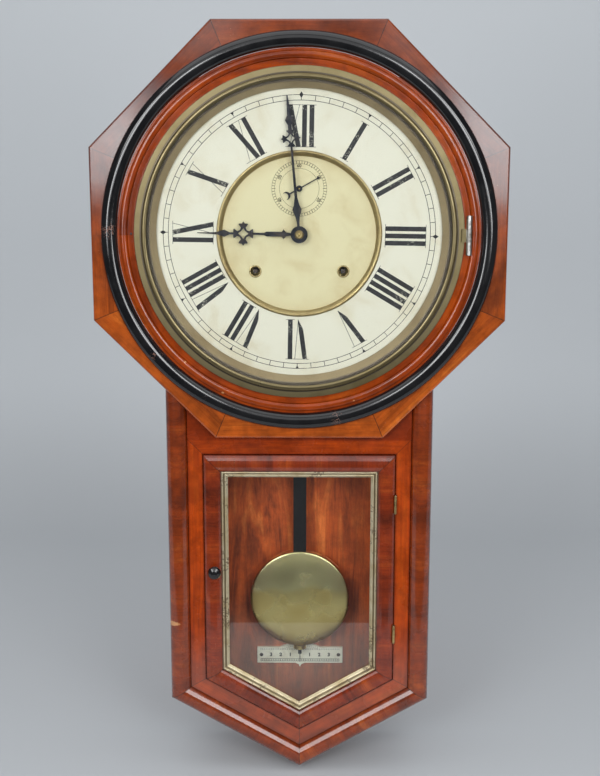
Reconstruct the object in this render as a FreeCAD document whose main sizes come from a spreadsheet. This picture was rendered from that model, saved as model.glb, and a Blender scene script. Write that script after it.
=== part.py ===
import FreeCAD, Part
import Sketcher
import math
import os
import re

# Schoolhouse regulator clock. Millimetres; x to the right, y back to the wall, z up.
# "Front" distances run from the wall towards the viewer, so a front of 84 lies at y = -84.
# Heights are counted from the dial centre, and every piece is then lowered by dial_drop.
doc = FreeCAD.newDocument("regulator")
sheet = doc.addObject("Spreadsheet::Sheet", "Sizes")
sizes = [
    ("octagon_flats", "432", "octagon across its flats"),
    ("octagon_thick", "22", "octagon rail thickness"),
    ("hanger_fall", "76", "octagon top to the hanger hole"),
    ("top_fall", "56", "octagon top to the top of the box"),
    ("carcass_front", "84", "wall to the front of the box"),
    ("back_thick", "10", "backboard thickness"),
    ("board_thick", "12", "side, bottom and top board thickness"),
    ("moulding_half", "143.5", "half width of the drop over its moulding"),
    ("case_point", "601.2", "moulding tip below the dial centre"),
    ("case_slope", "30", "slope of the pointed bottom in degrees"),
    ("overhang", "3.5", "moulding past the box sides"),
    ("moulding_width", "22.6", "edge moulding width"),
    ("moulding_edge", "9", "edge moulding height at its edges"),
    ("moulding_rise", "9.5", "edge moulding crown above its edges"),
    ("band_width", "16", "flat front frame width"),
    ("band_thick", "11", "flat front frame thickness"),
    ("top_rail", "20", "top rail of the front frame"),
    ("door_gap", "0.8", "gap round the door"),
    ("hinge_fall", "55.8", "opening top to the middle of the upper hinge"),
    ("hinge_spacing", "149.3", "between the door hinges"),
    ("leaf_reach", "10.6", "depth of a door hinge leaf"),
    ("leaf_thick", "1", "thickness of a door hinge leaf"),
    ("knob_fall", "131", "opening top to the pull knob"),
    ("door_rise", "4.5", "crown of the door moulding"),
    ("door_rail", "19", "door rail width"),
    ("rebate_inset", "14", "door edge to the glass rebate"),
    ("glass_thick", "2", "thickness of both glasses"),
    ("slip_width", "7", "gilt slip width"),
    ("knob_radius", "7.4", "pull knob radius"),
    ("hinge_length", "20", "door hinge length"),
    ("barrel_radius", "1.5", "door hinge barrel radius"),
    ("ring_margin", "10.5", "octagon flat to the black ring"),
    ("ring_width", "16.9", "black ring width"),
    ("surround_width", "17.6", "surround seen between black ring and bezel"),
    ("surround_step", "1", "surround front past the octagon front"),
    ("flange_width", "7.4", "bezel flange width"),
    ("bead_width", "6.2", "bezel bead width"),
    ("sight_run", "8.8", "inward run of the sight ring"),
    ("bezel_barrel", "3", "bezel hinge barrel radius"),
    ("bezel_hinge_half", "20", "half length of the bezel hinge"),
    ("dial_sink", "14", "dial ledge behind the surround front"),
    ("centre_sink", "2", "dial centre behind the ledge"),
    ("dial_hole", "84", "chapter ring inner radius"),
    ("dial_thick", "1", "dial sheet thickness"),
    ("winding_side", "46.25", "winding holes from the centre line"),
    ("winding_fall", "39", "winding holes below the centre"),
    ("winding_hole", "5.2", "winding hole radius"),
    ("seconds_rise", "47.2", "seconds arbor above the centre"),
    ("minute_short", "6.6", "minute hand tip to the sight ring"),
    ("seconds_length", "24.5", "seconds hand length"),
    ("hand_thick", "0.8", "hand thickness"),
    ("back_plate_front", "40", "front face of the back plate"),
    ("front_plate_back", "74", "back face of the front plate"),
    ("plate_thick", "2", "movement plate thickness"),
    ("plate_half", "92", "movement plate half width"),
    ("pillar_side", "85", "pillars from the centre line"),
    ("pillar_low", "-64", "lower pillar height"),
    ("pillar_high", "88", "upper pillar height"),
    ("pillar_radius", "4.5", "pillar radius"),
    ("arbor_radius", "1.5", "train arbor radius"),
    ("winding_radius", "4", "winding arbor radius"),
    ("pivot_radius", "0.8", "train pivot radius"),
    ("pivot_play", "0.06", "radial play of a pivot"),
    ("great_reach", "41.4", "great arbor to the next arbor"),
    ("second_reach", "28.8", "second arbor to the centre"),
    ("centre_reach", "28.8", "centre to the third arbor"),
    ("third_reach", "27.2", "third arbor to the escape arbor"),
    ("motion_reach", "24", "centre to the minute wheel"),
    ("pin_reach", "25.6", "pin arbor to the strike third arbor"),
    ("fly_reach", "19.6", "strike third arbor to the fly"),
    ("great_teeth", "48", "great wheel teeth"),
    ("centre_teeth", "48", "centre wheel teeth"),
    ("third_teeth", "45", "third wheel teeth"),
    ("small_leaves", "6", "leaves of the train pinions"),
    ("second_teeth", "30", "second wheel and minute wheel teeth"),
    ("centre_leaves", "10", "leaves of the centre and motion pinions"),
    ("hour_teeth", "40", "hour wheel teeth"),
    ("pin_teeth", "42", "pin wheel teeth"),
    ("strike_teeth", "36", "strike third wheel teeth"),
    ("escape_teeth", "42", "escape wheel teeth"),
    ("escape_radius", "24", "escape wheel tip radius"),
    ("pallet_clear", "0.25", "pallets above the escape tips at rest"),
    ("spring_radius", "30", "mainspring outer radius"),
    ("spring_thick", "0.8", "mainspring thickness"),
    ("rod_front", "28.5", "front of the pendulum rod"),
    ("rod_thick", "5", "pendulum rod thickness"),
    ("rod_half", "7.4", "half width of the pendulum rod"),
    ("susp_length", "27.1", "bending point to the top of the rod"),
    ("bob_radius", "57.5", "bob radius"),
    ("nut_room", "9.7", "bob bottom to the top of the scale plate"),
    ("bob_half", "9.2", "half thickness of the bob"),
    ("slide_play", "0.3", "play of the bob on the rod"),
    ("nut_radius", "7.5", "rating nut radius"),
    ("screw_radius", "2.2", "rating screw radius"),
    ("gong_height", "-150", "gong centre height"),
    ("gong_inner", "12", "gong inner turn radius"),
    ("gong_radius", "45", "gong outer turn radius"),
    ("gong_wire", "2.2", "gong wire width"),
    ("scale_half", "50.4", "scale plate half width"),
    ("scale_rise", "89.2", "case point to the scale plate bottom"),
    ("scale_high", "19.5", "scale plate height"),
    ("scale_front", "13.2", "scale plate front"),
    ("hanger_hole", "5", "hanger hole radius"),
    ("hanger_half", "20", "hanger plate half width"),
    ("hanger_thick", "2", "hanger plate thickness"),
]
# Sizes that follow from the sheet
derived = {
    "dial_drop": "octagon_flats/2-hanger_fall",
    "carcass_top": "octagon_flats/2-top_fall",
    "ring_outer": "octagon_flats/2-ring_margin",
    "ring_inner": "ring_outer-ring_width",
    "ring_round": "ring_width/2+0.15",
    "octagon_rail": "ring_margin+ring_width-0.4",
    "bezel_radius": "ring_inner-surround_width",
    "bead_outer": "bezel_radius-flange_width",
    "bead_inner": "bead_outer-bead_width",
    "bead_round": "bead_width/2+0.1",
    "surround_wall": "bead_outer-0.6",
    "sight_radius": "bead_inner-sight_run",
    "surround_inner": "sight_radius-2.6",
    "dial_radius": "surround_wall-5",
    "surround_front": "carcass_front+octagon_thick+surround_step",
    "bezel_axis": "bezel_radius+bezel_barrel+1.3",
    "bezel_axis_front": "surround_front+bezel_barrel+0.5",
    "ledge_front": "surround_front-dial_sink",
    "centre_front": "ledge_front-centre_sink",
    "minute_length": "sight_radius-minute_short",
    "hour_length": "0.75*minute_length",
    "opening_top": "-octagon_flats/2-0.2-top_rail",
    "door_back": "carcass_front-0.5",
    "door_edge": "carcass_front+band_thick+0.5",
    "glass_back": "door_back+3.5",
    "door_axis_front": "door_edge+barrel_radius+1.6",
    "leaf_front": "door_axis_front-barrel_radius-0.5",
    "leaf_back": "leaf_front-leaf_reach",
    "hinge_upper": "opening_top-hinge_fall",
    "hinge_lower": "hinge_upper-hinge_spacing",
    "knob_height": "opening_top-knob_fall",
    "scale_bottom": "scale_rise-case_point",
    "scale_top": "scale_bottom+scale_high",
    "bob_height": "scale_top+bob_radius+nut_room",
    "verge_rise": "seconds_rise+escape_radius*sqrt(2)",
    "rod_top": "verge_rise-susp_length",
    "rod_bottom": "bob_height-bob_radius+14.8",
}
known = set()
for row, (name, number, note) in enumerate(sizes, 1):
    sheet.set("A%d" % row, name)
    sheet.set("B%d" % row, number)
    sheet.setAlias("B%d" % row, name)
    sheet.set("C%d" % row, note)
    known.add(name)
doc.recompute()
Vector = FreeCAD.Vector
nodes = {}


# Sheet expressions
def spelled(text):
    while any(word in derived for word in re.findall(r"[a-z_]+", text)):
        text = re.sub(r"[a-z_]+", lambda word: "(" + derived[word.group()] + ")"
                      if word.group() in derived else word.group(), text)
    return text


def bound(text):
    return re.sub(r"[a-z_]+", lambda word: "Sizes." + word.group()
                  if word.group() in known else word.group(), spelled(text))


def num(text):
    return float(sheet.evalExpression(spelled(text)))


def bind(item, path, text):
    item.setExpression(path, bound(text))


def keep(item, label):
    item.Label = label
    nodes[label] = item
    return item


# Bodies drawn from bound sketches
def start_body(name):
    body = doc.addObject("PartDesign::Body", name)
    bind(body, "Placement.Base.z", "-dial_drop")
    return body


def origin_plane(body, role):
    return [plane for plane in body.Origin.OriginFeatures if plane.Role == role][0]


def arc_between(start, end, radius, side):
    middle = (start + end) * 0.5
    along = end - start
    half = along.Length / 2
    across = Vector(-along.y, along.x, 0).normalize()
    centre = middle + across * (side * math.sqrt(max(radius * radius - half * half, 0)))
    crown = centre - across * (side * radius)
    return Part.Arc(start, crown, end), centre


def draw_loop(sketch, loop):
    if loop[0] == "circle":
        across, up, radius = loop[1:]
        circle = Part.Circle(Vector(num(across), num(up), 0), Vector(0, 0, 1), num(radius))
        edge = sketch.addGeometry(circle, False)
        for kind, text in (("DistanceX", across), ("DistanceY", up)):
            index = sketch.addConstraint(Sketcher.Constraint(kind, -1, 1, edge, 3, num(text)))
            bind(sketch, "Constraints[%d]" % index, text)
        index = sketch.addConstraint(Sketcher.Constraint("Radius", edge, num(radius)))
        bind(sketch, "Constraints[%d]" % index, radius)
        return
    spots = [Vector(num(point[0]), num(point[1]), 0) for point in loop]
    ends = []
    for place, point in enumerate(loop):
        start, end = spots[place], spots[(place + 1) % len(loop)]
        if len(point) == 2:
            edge = sketch.addGeometry(Part.LineSegment(start, end), False)
            ends.append((edge, 1, 2))
            continue
        radius, side = point[2], point[3]
        curve, centre = arc_between(start, end, num(radius), side)
        edge = sketch.addGeometry(Part.ArcOfCircle(Part.Circle(centre, Vector(0, 0, 1), num(radius)),
                                                   *arc_span(centre, start, end, side)), False)
        ends.append((edge, 1, 2) if side > 0 else (edge, 2, 1))
        index = sketch.addConstraint(Sketcher.Constraint("Radius", edge, num(radius)))
        bind(sketch, "Constraints[%d]" % index, radius)
    for place in range(len(loop)):
        after = ends[(place + 1) % len(loop)]
        sketch.addConstraint(Sketcher.Constraint("Coincident", ends[place][0], ends[place][2], after[0],
                                                 after[1]))
    for place, point in enumerate(loop):
        for kind, text in (("DistanceX", point[0]), ("DistanceY", point[1])):
            index = sketch.addConstraint(
                Sketcher.Constraint(kind, -1, 1, ends[place][0], ends[place][1], num(text)))
            bind(sketch, "Constraints[%d]" % index, text)


# Side above zero puts the arc centre left of the way of travel, which runs with the angle.
def arc_span(centre, start, end, side):
    first = math.atan2(start.y - centre.y, start.x - centre.x)
    last = math.atan2(end.y - centre.y, end.x - centre.x)
    return (first, last) if side > 0 else (last, first)


def sheet_body(name, loops, back, front):
    body = start_body(name)
    sketch = body.newObject("Sketcher::SketchObject", name + "_outline")
    sketch.AttachmentSupport = [(origin_plane(body, "XZ_Plane"), "")]
    sketch.MapMode = "FlatFace"
    bind(sketch, "AttachmentOffset.Base.z", back)
    for loop in loops:
        draw_loop(sketch, loop)
    pad = body.newObject("PartDesign::Pad", name + "_pad")
    pad.Profile = sketch
    bind(pad, "Length", "(%s)-(%s)" % (front, back))
    return body


# Turned pieces: points are (radius, front), turned about the y axis at (across, up).
def turned_body(name, points, across="0", up="0"):
    body = start_body(name)
    bind(body, "Placement.Base.x", across)
    bind(body, "Placement.Base.z", "(%s)-dial_drop" % up)
    sketch = body.newObject("Sketcher::SketchObject", name + "_section")
    sketch.AttachmentSupport = [(origin_plane(body, "XY_Plane"), "")]
    sketch.MapMode = "FlatFace"
    draw_loop(sketch, [(point[0], "-(%s)" % point[1]) + tuple(point[2:]) for point in points])
    turn = body.newObject("PartDesign::Revolution", name + "_turn")
    turn.Profile = sketch
    turn.ReferenceAxis = (sketch, ["V_Axis"])
    turn.Angle = 360
    return body


# Bound primitives and booleans
def rod(name, across, up, radius, back, front):
    item = doc.addObject("Part::Cylinder", name)
    bind(item, "Radius", radius)
    bind(item, "Height", "(%s)-(%s)" % (front, back))
    item.Placement = FreeCAD.Placement(Vector(), FreeCAD.Rotation(Vector(1, 0, 0), 90))
    bind(item, "Placement.Base.x", across)
    bind(item, "Placement.Base.y", "-(%s)" % back)
    bind(item, "Placement.Base.z", "(%s)-dial_drop" % up)
    return item


def post(name, across, front, radius, low, high):
    item = doc.addObject("Part::Cylinder", name)
    bind(item, "Radius", radius)
    bind(item, "Height", "(%s)-(%s)" % (high, low))
    bind(item, "Placement.Base.x", across)
    bind(item, "Placement.Base.y", "-(%s)" % front)
    bind(item, "Placement.Base.z", "(%s)-dial_drop" % low)
    return item


def block(name, left, right, back, front, low, high):
    item = doc.addObject("Part::Box", name)
    bind(item, "Length", "(%s)-(%s)" % (right, left))
    bind(item, "Width", "(%s)-(%s)" % (front, back))
    bind(item, "Height", "(%s)-(%s)" % (high, low))
    bind(item, "Placement.Base.x", left)
    bind(item, "Placement.Base.y", "-(%s)" % front)
    bind(item, "Placement.Base.z", "(%s)-dial_drop" % low)
    return item


def fuse(name, items):
    item = doc.addObject("Part::MultiFuse", name)
    item.Shapes = items
    item.Refine = True
    return item


def cut(name, base, tools):
    item = doc.addObject("Part::Cut", name)
    item.Base = base
    item.Tool = tools[0] if len(tools) == 1 else fuse(name + "_tools", tools)
    return item


def group(name, items):
    item = doc.addObject("Part::Compound", name)
    item.Links = items
    return item


# Shapes that need their own geometry: mitred lengths, gear teeth, hands and spirals
def feature(name, shapes):
    item = doc.addObject("Part::Feature", name)
    shape = shapes[0] if len(shapes) == 1 else Part.makeCompound(shapes)
    item.Shape = shape
    lowered = FreeCAD.Placement(Vector(0, 0, -num("dial_drop")), FreeCAD.Rotation())
    item.Placement = lowered.multiply(shape.Placement)
    return item


def flat_face(points):
    return Part.Face(Part.makePolygon(points + [points[0]]))


def prism(points, back, front, holes=()):
    face = flat_face([Vector(x, -back, z) for x, z in points])
    solid = face.extrude(Vector(0, back - front, 0))
    for x, z, radius in holes:
        solid = solid.cut(disc(x, z, radius, back - 1, front + 1))
    return solid


def disc(x, z, radius, back, front):
    return Part.makeCylinder(radius, front - back, Vector(x, -back, z), Vector(0, -1, 0))


def join(shapes):
    return shapes[0].fuse(shapes[1:]).removeSplitter()


def pointed(inset, top):
    slope = math.radians(num("case_slope"))
    half = num("moulding_half") - inset
    tip = inset / math.cos(slope) - num("case_point")
    corner = tip + half * math.tan(slope)
    return [(-half, top), (-half, corner), (0, tip), (half, corner), (half, top)]


def pointed_loop(inset, top):
    half = "(moulding_half-(%s))" % inset
    tip = "((%s)/cos(case_slope)-case_point)" % inset
    corner = "%s+%s*tan(case_slope)" % (tip, half)
    return [("-" + half, top), ("-" + half, corner), ("0", tip), (half, corner), (half, top)]


def octagon(half):
    reach = half / math.cos(math.pi / 8)
    angles = [math.radians(112.5 + 45 * step) for step in range(8)]
    return [(reach * math.cos(angle), reach * math.sin(angle)) for angle in angles]


# One solid a side; corners run anticlockwise, the section holds (inset, front) points.
def mitred(corners, section, closed):
    count = len(corners)
    sides = count if closed else count - 1
    normals = []
    for side in range(sides):
        x0, z0 = corners[side]
        x1, z1 = corners[(side + 1) % count]
        length = math.hypot(x1 - x0, z1 - z0)
        normals.append((-(z1 - z0) / length, (x1 - x0) / length))

    def ring(corner):
        before = normals[(corner - 1) % sides] if closed or corner > 0 else normals[0]
        after = normals[corner % sides] if closed or corner < sides else normals[sides - 1]
        scale = 1 + before[0] * after[0] + before[1] * after[1]
        lean = ((before[0] + after[0]) / scale, (before[1] + after[1]) / scale)
        x, z = corners[corner % count]
        return [Vector(x + lean[0] * inset, -front, z + lean[1] * inset) for inset, front in section]

    solids = []
    for side in range(sides):
        first, last = ring(side), ring(side + 1)
        faces = [flat_face(first), flat_face(last)]
        for place in range(len(section)):
            after = (place + 1) % len(section)
            faces.append(flat_face([first[place], first[after], last[after], last[place]]))
        shell = Part.makeShell(faces)
        shell.sewShape()
        solid = Part.makeSolid(shell)
        if solid.Volume < 0:
            solid.reverse()
        solids.append(solid)
    return solids


def crown_section(width, edge, rise, steps):
    points = []
    for step in range(steps + 1):
        angle = math.pi * step / steps
        points.append((width / 2 + width / 2 * math.cos(angle), edge + rise * math.sin(angle)))
    return points


# Teeth: the wheel tooth lies on the line of centres, the pinion has a gap there.
def teeth(centre, count, module, leaf, angle, back, front):
    pitch = 2 * math.pi / count
    above, below = (0.75, 1.25) if leaf else (0.85, 1.15)
    base = (0.17 if leaf else 0.28) * pitch
    tip = (0.09 if leaf else 0.075) * pitch
    inner = module * (count / 2 - below)
    outer = module * (count / 2 + above)
    points = []
    for tooth in range(int(count)):
        middle = angle + tooth * pitch
        for turn, radius in ((-base, inner), (-tip, outer), (tip, outer), (base, inner)):
            points.append((centre[0] + radius * math.cos(middle + turn),
                           centre[1] + radius * math.sin(middle + turn)))
    return prism(points, back, front)


def wheel(centre, count, module, mate, back, front, crossings=5):
    angle = math.atan2(mate[1] - centre[1], mate[0] - centre[0])
    solid = teeth(centre, count, module, False, angle, back, front)
    reach = module * count / 2
    for step in range(crossings):
        turn = angle + 2 * math.pi * (step + 0.5) / crossings
        x = centre[0] + 0.56 * reach * math.cos(turn)
        z = centre[1] + 0.56 * reach * math.sin(turn)
        solid = solid.cut(disc(x, z, 0.23 * reach, back - 1, front + 1))
    return solid


def pinion(centre, count, module, mate, back, front):
    angle = math.atan2(mate[1] - centre[1], mate[0] - centre[0]) + math.pi / count
    return teeth(centre, count, module, True, angle, back, front)


def module_of(reach, first, second):
    return 2 * num(reach) / (num(first) + num(second))


def crossing(first, first_reach, second, second_reach, side):
    dx, dz = second[0] - first[0], second[1] - first[1]
    gap = math.hypot(dx, dz)
    along = (gap * gap + first_reach ** 2 - second_reach ** 2) / (2 * gap)
    out = side * math.sqrt(first_reach ** 2 - along ** 2)
    return (first[0] + (along * dx - out * dz) / gap, first[1] + (along * dz + out * dx) / gap)


def polar(centre, degrees, reach):
    angle = math.radians(degrees)
    return (centre[0] + reach * math.cos(angle), centre[1] + reach * math.sin(angle))


# Case
hanger_up = "dial_drop"
back_outline = sheet_body("backboard_body", [pointed_loop("overhang", "carcass_top")], "0", "back_thick")
hanger_pocket = block("hanger_pocket", "-hanger_half-0.2", "hanger_half+0.2", "-1", "hanger_thick+0.2",
                      hanger_up + "-26.2", hanger_up + "+18.2")
screw_room = rod("screw_room", "0", hanger_up, "9", "-1", "back_thick+1")
keep(cut("backboard_cut", back_outline, [hanger_pocket, screw_room]), "backboard")
hanger_loop = [("-hanger_half", hanger_up + "-26"), ("hanger_half", hanger_up + "-26"),
               ("hanger_half", hanger_up + "+18"), ("-hanger_half", hanger_up + "+18")]
keep(sheet_body("hanger_body", [hanger_loop, ("circle", "0", hanger_up, "hanger_hole")],
                "0", "hanger_thick"), "hanger_plate")

box_front = num("carcass_front")
box_back = num("back_thick")
board = num("board_thick")
boards = mitred(pointed(num("overhang"), num("carcass_top")),
                [(0, box_back), (0, box_front), (board, box_front), (board, box_back)], True)
keep(feature("sides", [boards[0], boards[3]]), "side_boards")
keep(feature("bottoms", [boards[1], boards[2]]), "bottom_boards")
keep(feature("top", [boards[4]]), "top_board")

octagon_half = num("octagon_flats") / 2
octagon_front = box_front + num("octagon_thick")
rail = num("octagon_rail")
keep(feature("octagon", mitred(octagon(octagon_half), [
    (0, box_front), (0, octagon_front - 2), (0.6, octagon_front - 0.6), (2, octagon_front),
    (rail, octagon_front), (rail, box_front)], True)), "octagon_rails")

drop_top = -octagon_half - 0.2
shadow = prism(octagon(octagon_half + 0.2), box_front - 4, octagon_front + 4)
width = num("moulding_width")
edge_front = box_front + num("moulding_edge")
edge_section = [(0, box_front), (width - 0.2, box_front)]
edge_section += crown_section(width - 0.2, edge_front, num("moulding_rise"), 10)
edges = mitred(pointed(0, -octagon_half / 2), edge_section, False)
edges[0] = edges[0].cut(shadow)
edges[3] = edges[3].cut(shadow)
keep(feature("edges", edges), "case_moulding")

band = num("band_width")
band_front = box_front + num("band_thick")
opening = width + band
opening_top = num("opening_top")
frame_path = pointed(width, opening_top + band)
frame_solids = mitred(frame_path, [(0, box_front), (0, band_front), (band, band_front), (band, box_front)],
                      True)
outer_half, inner_half = frame_path[4][0], frame_path[4][0] - band
rail_outline = [(-inner_half, opening_top), (inner_half, opening_top), (outer_half, opening_top + band),
                (outer_half, -octagon_half / 2), (-outer_half, -octagon_half / 2),
                (-outer_half, opening_top + band)]
frame_solids[4] = prism(rail_outline, box_front, band_front).cut(shadow)


# Room for a hinge leaf, cut from the side towards the seam
def leaf_room(left, height):
    play = 0.3
    front = num("door_axis_front") + play
    return Part.makeBox(num("leaf_thick") + 2 * play, front - num("leaf_back") + play,
                        num("hinge_length") + 2 * play,
                        Vector(left - play, -front, height - num("hinge_length") / 2 - play))


for height in (num("hinge_upper"), num("hinge_lower")):
    frame_solids[3] = frame_solids[3].cut(leaf_room(inner_half + 0.1, height))
keep(feature("front", frame_solids), "front_frame")

ring_front = "carcass_front+octagon_thick"
keep(turned_body("ring_body", [("ring_outer", ring_front, "ring_round", -1), ("ring_inner", ring_front)]),
     "ebonised_ring")
surround = turned_body("surround_body", [
    ("surround_inner", "ledge_front-7"), ("ring_inner-0.3", "ledge_front-7"),
    ("ring_inner-0.3", "surround_front-0.5"),
    ("ring_inner-2.6", "surround_front-0.5", "4.2", -1), ("ring_inner-10.6", "surround_front-0.5"),
    ("bezel_radius+1.8", "surround_front"), ("surround_wall", "surround_front"),
    ("surround_wall", "ledge_front"), ("surround_inner", "ledge_front")])
leaf_slot = block("leaf_slot", "bezel_axis-1", "bezel_axis+1", "ledge_front+4.7", "surround_front+3",
                  "-bezel_hinge_half-0.3", "bezel_hinge_half+0.3")
keep(cut("surround_cut", surround, [leaf_slot]), "surround_ring")

# Dial
dial_front = "ledge_front+dial_thick"
keep(turned_body("chapter_body", [("dial_hole", "ledge_front"), ("dial_radius", "ledge_front"),
                                  ("dial_radius", dial_front), ("dial_hole", dial_front)]), "chapter_ring")
keep(sheet_body("centre_body", [("circle", "0", "0", "dial_hole-0.5"), ("circle", "0", "0", "4.4"),
                                ("circle", "0", "seconds_rise", "2.2"),
                                ("circle", "-winding_side", "-winding_fall", "winding_hole"),
                                ("circle", "winding_side", "-winding_fall", "winding_hole")],
                "centre_front-dial_thick", "centre_front"), "dial_centre")
keep(turned_body("dial_bead_body", [
    ("dial_hole-3.6", "centre_front"), ("dial_hole-0.3", "centre_front"), ("dial_hole-0.3", dial_front),
    ("dial_hole+2.6", dial_front), ("dial_hole+2.6", dial_front + "+0.5"),
    ("dial_hole+0.8", dial_front + "+1.3"),
    ("dial_hole-1.4", dial_front + "+0.2"), ("dial_hole-3.6", "centre_front+1.2")]), "dial_bead_ring")

# Bezel
seat = "surround_front+0.3"
glass_front = "surround_front"
bezel_body = turned_body("bezel_body", [
    ("surround_wall-1.6", seat), ("bezel_radius", seat), ("bezel_radius", seat + "+1.3"),
    ("bead_outer", seat + "+1.6", "bead_round", -1), ("bead_inner", seat + "+1.6"), ("bead_inner", seat),
    ("surround_wall-2.6", seat), ("surround_wall-2.6", seat + "-3.8"), ("surround_wall-1.6", seat + "-3.8")])
keep(bezel_body, "bezel")
keep(sheet_body("bezel_glass_body", [("circle", "0", "0", "surround_wall-2.9")],
                glass_front + "-glass_thick", glass_front), "bezel_glass")
sight_seat = glass_front + "-glass_thick-0.3"
keep(turned_body("sight_body", [
    ("surround_wall-2.9", sight_seat + "-1"), ("surround_wall-2.9", sight_seat),
    ("bead_inner-2", sight_seat), ("sight_radius", dial_front + "+2"),
    ("sight_radius+1", dial_front + "+1.3"),
    ("bead_inner-1", sight_seat + "-1")]), "sight_ring")


# A knuckle hinge whose pin stands upright
def knuckle(name, across, front, outer, inner, low, high):
    return cut(name, post(name + "_barrel", across, front, outer, low, high),
               [post(name + "_bore", across, front, inner, low + "-1", high + "+1")])


third = "bezel_hinge_half/3"
leaf_upper = fuse("bezel_case_metal", [
    block("bezel_case_leaf", "bezel_axis-0.7", "bezel_axis+0.7", "ledge_front+5",
          "bezel_axis_front-bezel_barrel-0.3",
          "-bezel_hinge_half", "bezel_hinge_half"),
    block("bezel_case_upper", "bezel_axis-0.7", "bezel_axis+0.7", "ledge_front+5", "bezel_axis_front-2",
          third + "+0.3", "bezel_hinge_half"),
    block("bezel_case_lower", "bezel_axis-0.7", "bezel_axis+0.7", "ledge_front+5", "bezel_axis_front-2",
          "-bezel_hinge_half", "-" + third + "-0.3"),
    knuckle("bezel_knuckle_upper", "bezel_axis", "bezel_axis_front", "bezel_barrel", "1.55",
            third + "+0.3", "bezel_hinge_half"),
    knuckle("bezel_knuckle_lower", "bezel_axis", "bezel_axis_front", "bezel_barrel", "1.55",
            "-bezel_hinge_half", "-" + third + "-0.3")])
keep(leaf_upper, "bezel_hinge_leaf_case")
bezel_tab = cut("bezel_tab", block("bezel_tab_plate", "bezel_axis-7.5", "bezel_axis-1", seat + "+2.1",
                                   seat + "+4.1",
                                   "-" + third, third),
                [post("bezel_tab_bore", "bezel_axis", "bezel_axis_front", "2.2", "-bezel_hinge_half",
                      "bezel_hinge_half")])
keep(fuse("bezel_leaf_metal", [bezel_tab, knuckle("bezel_knuckle_middle", "bezel_axis", "bezel_axis_front",
                                                  "bezel_barrel", "1.55", "-" + third, third)]),
     "bezel_hinge_leaf")

# Door
door_half_text = "moulding_half-moulding_width-band_width-door_gap"
door_top = opening_top - num("door_gap")
door_inset = opening + num("door_gap")
door_rail = num("door_rail")
rebate = num("rebate_inset")
shoulder = num("glass_back") + num("glass_thick") + 0.2
door_section = [(0, num("door_back")), (rebate, num("door_back")), (rebate, shoulder), (door_rail, shoulder)]
door_section += crown_section(door_rail, num("door_edge"), num("door_rise"), 8)
door_solids = mitred(pointed(door_inset, door_top), door_section, True)
door_half = num(door_half_text)
for height in (num("hinge_upper"), num("hinge_lower")):
    door_solids[3] = door_solids[3].cut(leaf_room(door_half - num("leaf_thick") - 0.1, height))
knob_side = -door_half + 0.6 * door_rail
door_solids[0] = door_solids[0].cut(disc(knob_side, num("knob_height"), 2.6, num("door_edge") - 4,
                                         num("door_edge") + 14))
keep(feature("door", door_solids), "door_frame")
slip = num("slip_width")
slip_path = pointed(door_inset + door_rail + 0.2, door_top - door_rail - 0.2)
keep(feature("slip", mitred(slip_path, [(0, shoulder + 0.2), (slip, shoulder + 0.2), (slip, shoulder + 1.6),
                                        (slip - 0.8, shoulder + 2.4), (1.2, shoulder + 6),
                                        (0, shoulder + 6.2)],
                            True)), "door_slip")
glass_inset = "moulding_width+band_width+door_gap+rebate_inset+0.3"
glass_top = "-octagon_flats/2-0.2-top_rail-door_gap-rebate_inset-0.3"
keep(sheet_body("door_glass_body", [pointed_loop(glass_inset, glass_top)], "glass_back",
                "glass_back+glass_thick"),
     "door_glass")
stop_path = pointed(door_inset + rebate + 0.2, door_top - rebate - 0.2)
keep(feature("stops", mitred(stop_path, [(0, num("door_back")), (6.5, num("door_back") + 1),
                                         (6.5, num("glass_back") - 0.2), (0, num("glass_back") - 0.2)],
                                         True)),
     "door_glass_stops")
knob_foot = "door_edge+door_rise+0.6"
knob_across = "-(%s)+0.6*door_rail" % door_half_text
keep(turned_body("knob_body", [("0", "door_edge-3.5"), ("2.5", "door_edge-3.5"), ("2.5", knob_foot),
                               ("0.7*knob_radius", knob_foot), ("0.7*knob_radius", knob_foot + "+1"),
                               ("0.5*knob_radius", knob_foot + "+2.2"),
                               ("0.9*knob_radius", knob_foot + "+4.4"),
                               ("knob_radius", knob_foot + "+6.9"), ("0.83*knob_radius", knob_foot + "+9.6"),
                               ("0.43*knob_radius", knob_foot + "+11.2"), ("0", knob_foot + "+11.8")],
                 knob_across, "knob_height"), "door_knob")

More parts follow.
